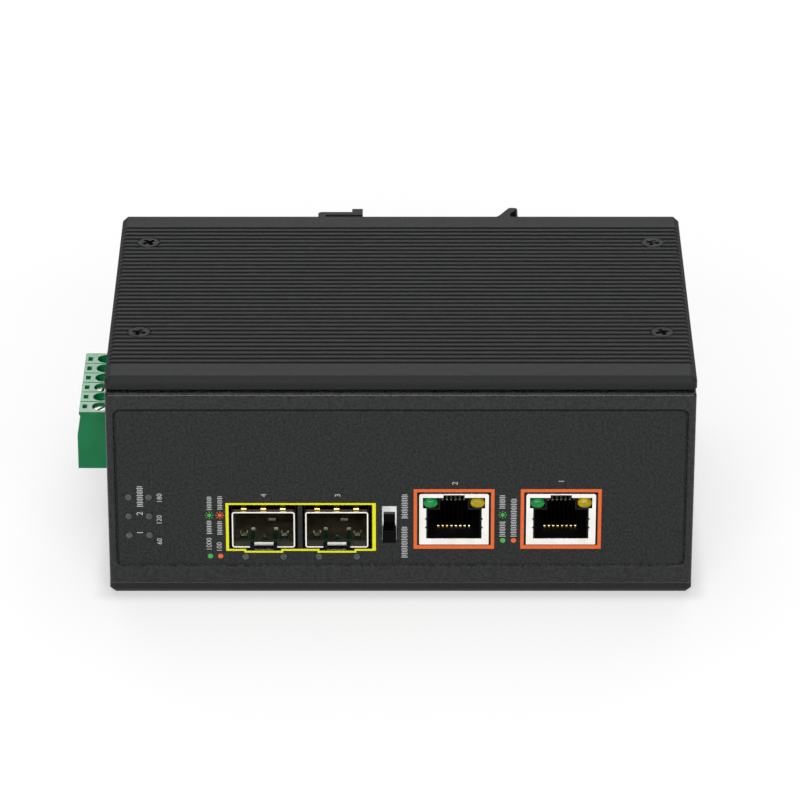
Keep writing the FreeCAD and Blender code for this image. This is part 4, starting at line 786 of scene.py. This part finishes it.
def addFloor():
    look, half = floorLook, floorLook["half"]
    mesh = bpy.data.meshes.new("floor")
    mesh.from_pydata([(-half, -half, 0), (half, -half, 0), (half, half, 0), (-half, half, 0)],
                     [], [(0, 1, 2, 3)])
    floor = bpy.data.objects.new("floor", mesh)
    bpy.context.scene.collection.objects.link(floor)
    material, tree, shader, place = startMaterial("mattPaintedFloor", 0.0,
                                                  {"roughness": 0.9, "specular": 0.0})
    rays = addNode(tree, "ShaderNodeLightPath").outputs
    direct = addNode(tree, "ShaderNodeMath", {"operation": "MAXIMUM"},
                     {0: rays["Is Camera Ray"], 1: rays["Is Glossy Ray"]})
    seen = addNode(tree, "ShaderNodeMath", {"operation": "MAXIMUM"},
                   {0: direct.outputs[0], 1: rays["Is Transmission Ray"]})
    tone = addNode(tree, "ShaderNodeMix", {"data_type": "RGBA", 6: look["bounce"],
                                           7: look["shown"]}, {0: seen.outputs[0]}).outputs[2]
    reach = addNode(tree, "ShaderNodeVectorMath", {"operation": "LENGTH"}, {0: place})
    pale = addNode(tree, "ShaderNodeMapRange", {"From Min": look["paleTo"],
                                                "From Max": look["darkFrom"],
                                                "To Min": look["glow"], "To Max": 0.0},
                   {"Value": reach.outputs["Value"]})
    # painted contact shadow: the glow fades out in the crease where the object stands on the floor
    halfWidth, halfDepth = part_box("bottom_side_panel")[1][:2]
    aside = addNode(tree, "ShaderNodeVectorMath", {"operation": "ABSOLUTE"}, {0: place})
    beyond = addNode(tree, "ShaderNodeVectorMath", {"operation": "SUBTRACT",
                                                    1: (halfWidth, halfDepth, 0)},
                     {0: aside.outputs[0]})
    outside = addNode(tree, "ShaderNodeVectorMath", {"operation": "MAXIMUM", 1: (0, 0, 0)},
                      {0: beyond.outputs[0]})
    away = addNode(tree, "ShaderNodeVectorMath", {"operation": "LENGTH"}, {0: outside.outputs[0]})
    paintedContactShadow = addNode(tree, "ShaderNodeMapRange", {"From Max": look["contactReach"] * mm,
                                                  "To Min": look["contact"],
                                                  "interpolation_type": "SMOOTHSTEP"},
                     {"Value": away.outputs["Value"]})
    strength = addNode(tree, "ShaderNodeMath", {"operation": "MULTIPLY"},
                       {0: pale.outputs[0], 1: paintedContactShadow.outputs[0]})
    glow = addNode(tree, "ShaderNodeMath", {"operation": "MULTIPLY"},
                   {0: strength.outputs[0], 1: seen.outputs[0]})
    shader.inputs["Emission Color"].default_value = hexColour("#ffffff")
    tree.links.new(glow.outputs[0], shader.inputs["Emission Strength"])
    tree.links.new(tone, shader.inputs["Base Color"])
    mesh.materials.append(material)


# Lamps: brightness is the light each square metre of the lamp shows, where 1 is white paper.
lamps = {
    "overheadBox": {"place": (0.0, 0.30, 1.0), "size": (0.9, 0.9), "brightness": 1.15},
    "rearStrip": {"place": (0.0, 1.07, 0.60), "size": (1.2, 0.14), "brightness": 6.5},
    "frontBox": {"place": (0.0, -1.30, 0.75), "size": (1.6, 0.55), "brightness": 6.6},
}
lampAim = (0, 0, 0.03)  # every lamp points at the upper part of the object


def addLamp(name, look):
    data = bpy.data.lights.new(name, "AREA")
    data.shape = "RECTANGLE"
    data.size, data.size_y = look["size"]
    data.energy = look["brightness"] * math.pi * data.size * data.size_y
    lamp = bpy.data.objects.new(name, data)
    lamp.location = look["place"]
    lamp.rotation_mode = "QUATERNION"
    beam = Vector(lampAim) - Vector(look["place"])
    lamp.rotation_quaternion = beam.to_track_quat("-Z", "Y")
    lamp.visible_camera = False
    bpy.context.scene.collection.objects.link(lamp)


# A dim horizon and a paler ceiling.
worldLook = {"horizon": "#5a5a5a", "ceiling": "#b0b0b0", "fromHeight": 0.15, "toHeight": 0.8}


def addWorld():
    look = worldLook
    world = bpy.data.worlds.new("studio")
    world.use_nodes = True
    tree = world.node_tree
    place = addNode(tree, "ShaderNodeTexCoord").outputs["Generated"]
    height = addNode(tree, "ShaderNodeSeparateXYZ", None, {0: place}).outputs["Z"]
    rise = addNode(tree, "ShaderNodeMapRange", {"From Min": look["fromHeight"],
                                                "From Max": look["toHeight"]},
                   {"Value": height}).outputs[0]
    tone = addNode(tree, "ShaderNodeMix", {"data_type": "RGBA", 6: look["horizon"],
                                           7: look["ceiling"]}, {0: rise}).outputs[2]
    tree.links.new(tone, tree.nodes["Background"].inputs["Color"])
    bpy.context.scene.world = world


# The camera looks along +Y and down at the front edge, as a catalogue view would.
cameraLook = {"place": (-0.00015, -1.0526, 0.5618), "tilt": 63.11, "lens": 222.7,
              "sensor": 36.0, "nearest": 0.05, "farthest": 20.0}


def addCamera():
    look = cameraLook
    data = bpy.data.cameras.new("camera")
    data.lens, data.sensor_width = look["lens"], look["sensor"]
    data.clip_start, data.clip_end = look["nearest"], look["farthest"]
    camera = bpy.data.objects.new("camera", data)
    camera.location = look["place"]
    camera.rotation_euler = (math.radians(look["tilt"]), 0, 0)
    bpy.context.scene.collection.objects.link(camera)
    bpy.context.scene.camera = camera


addFloor()
addWorld()
for name, look in lamps.items():
    addLamp(name, look)
addCamera()
bpy.context.scene.view_settings.view_transform = "Standard"
print("stage, lights and camera ready")
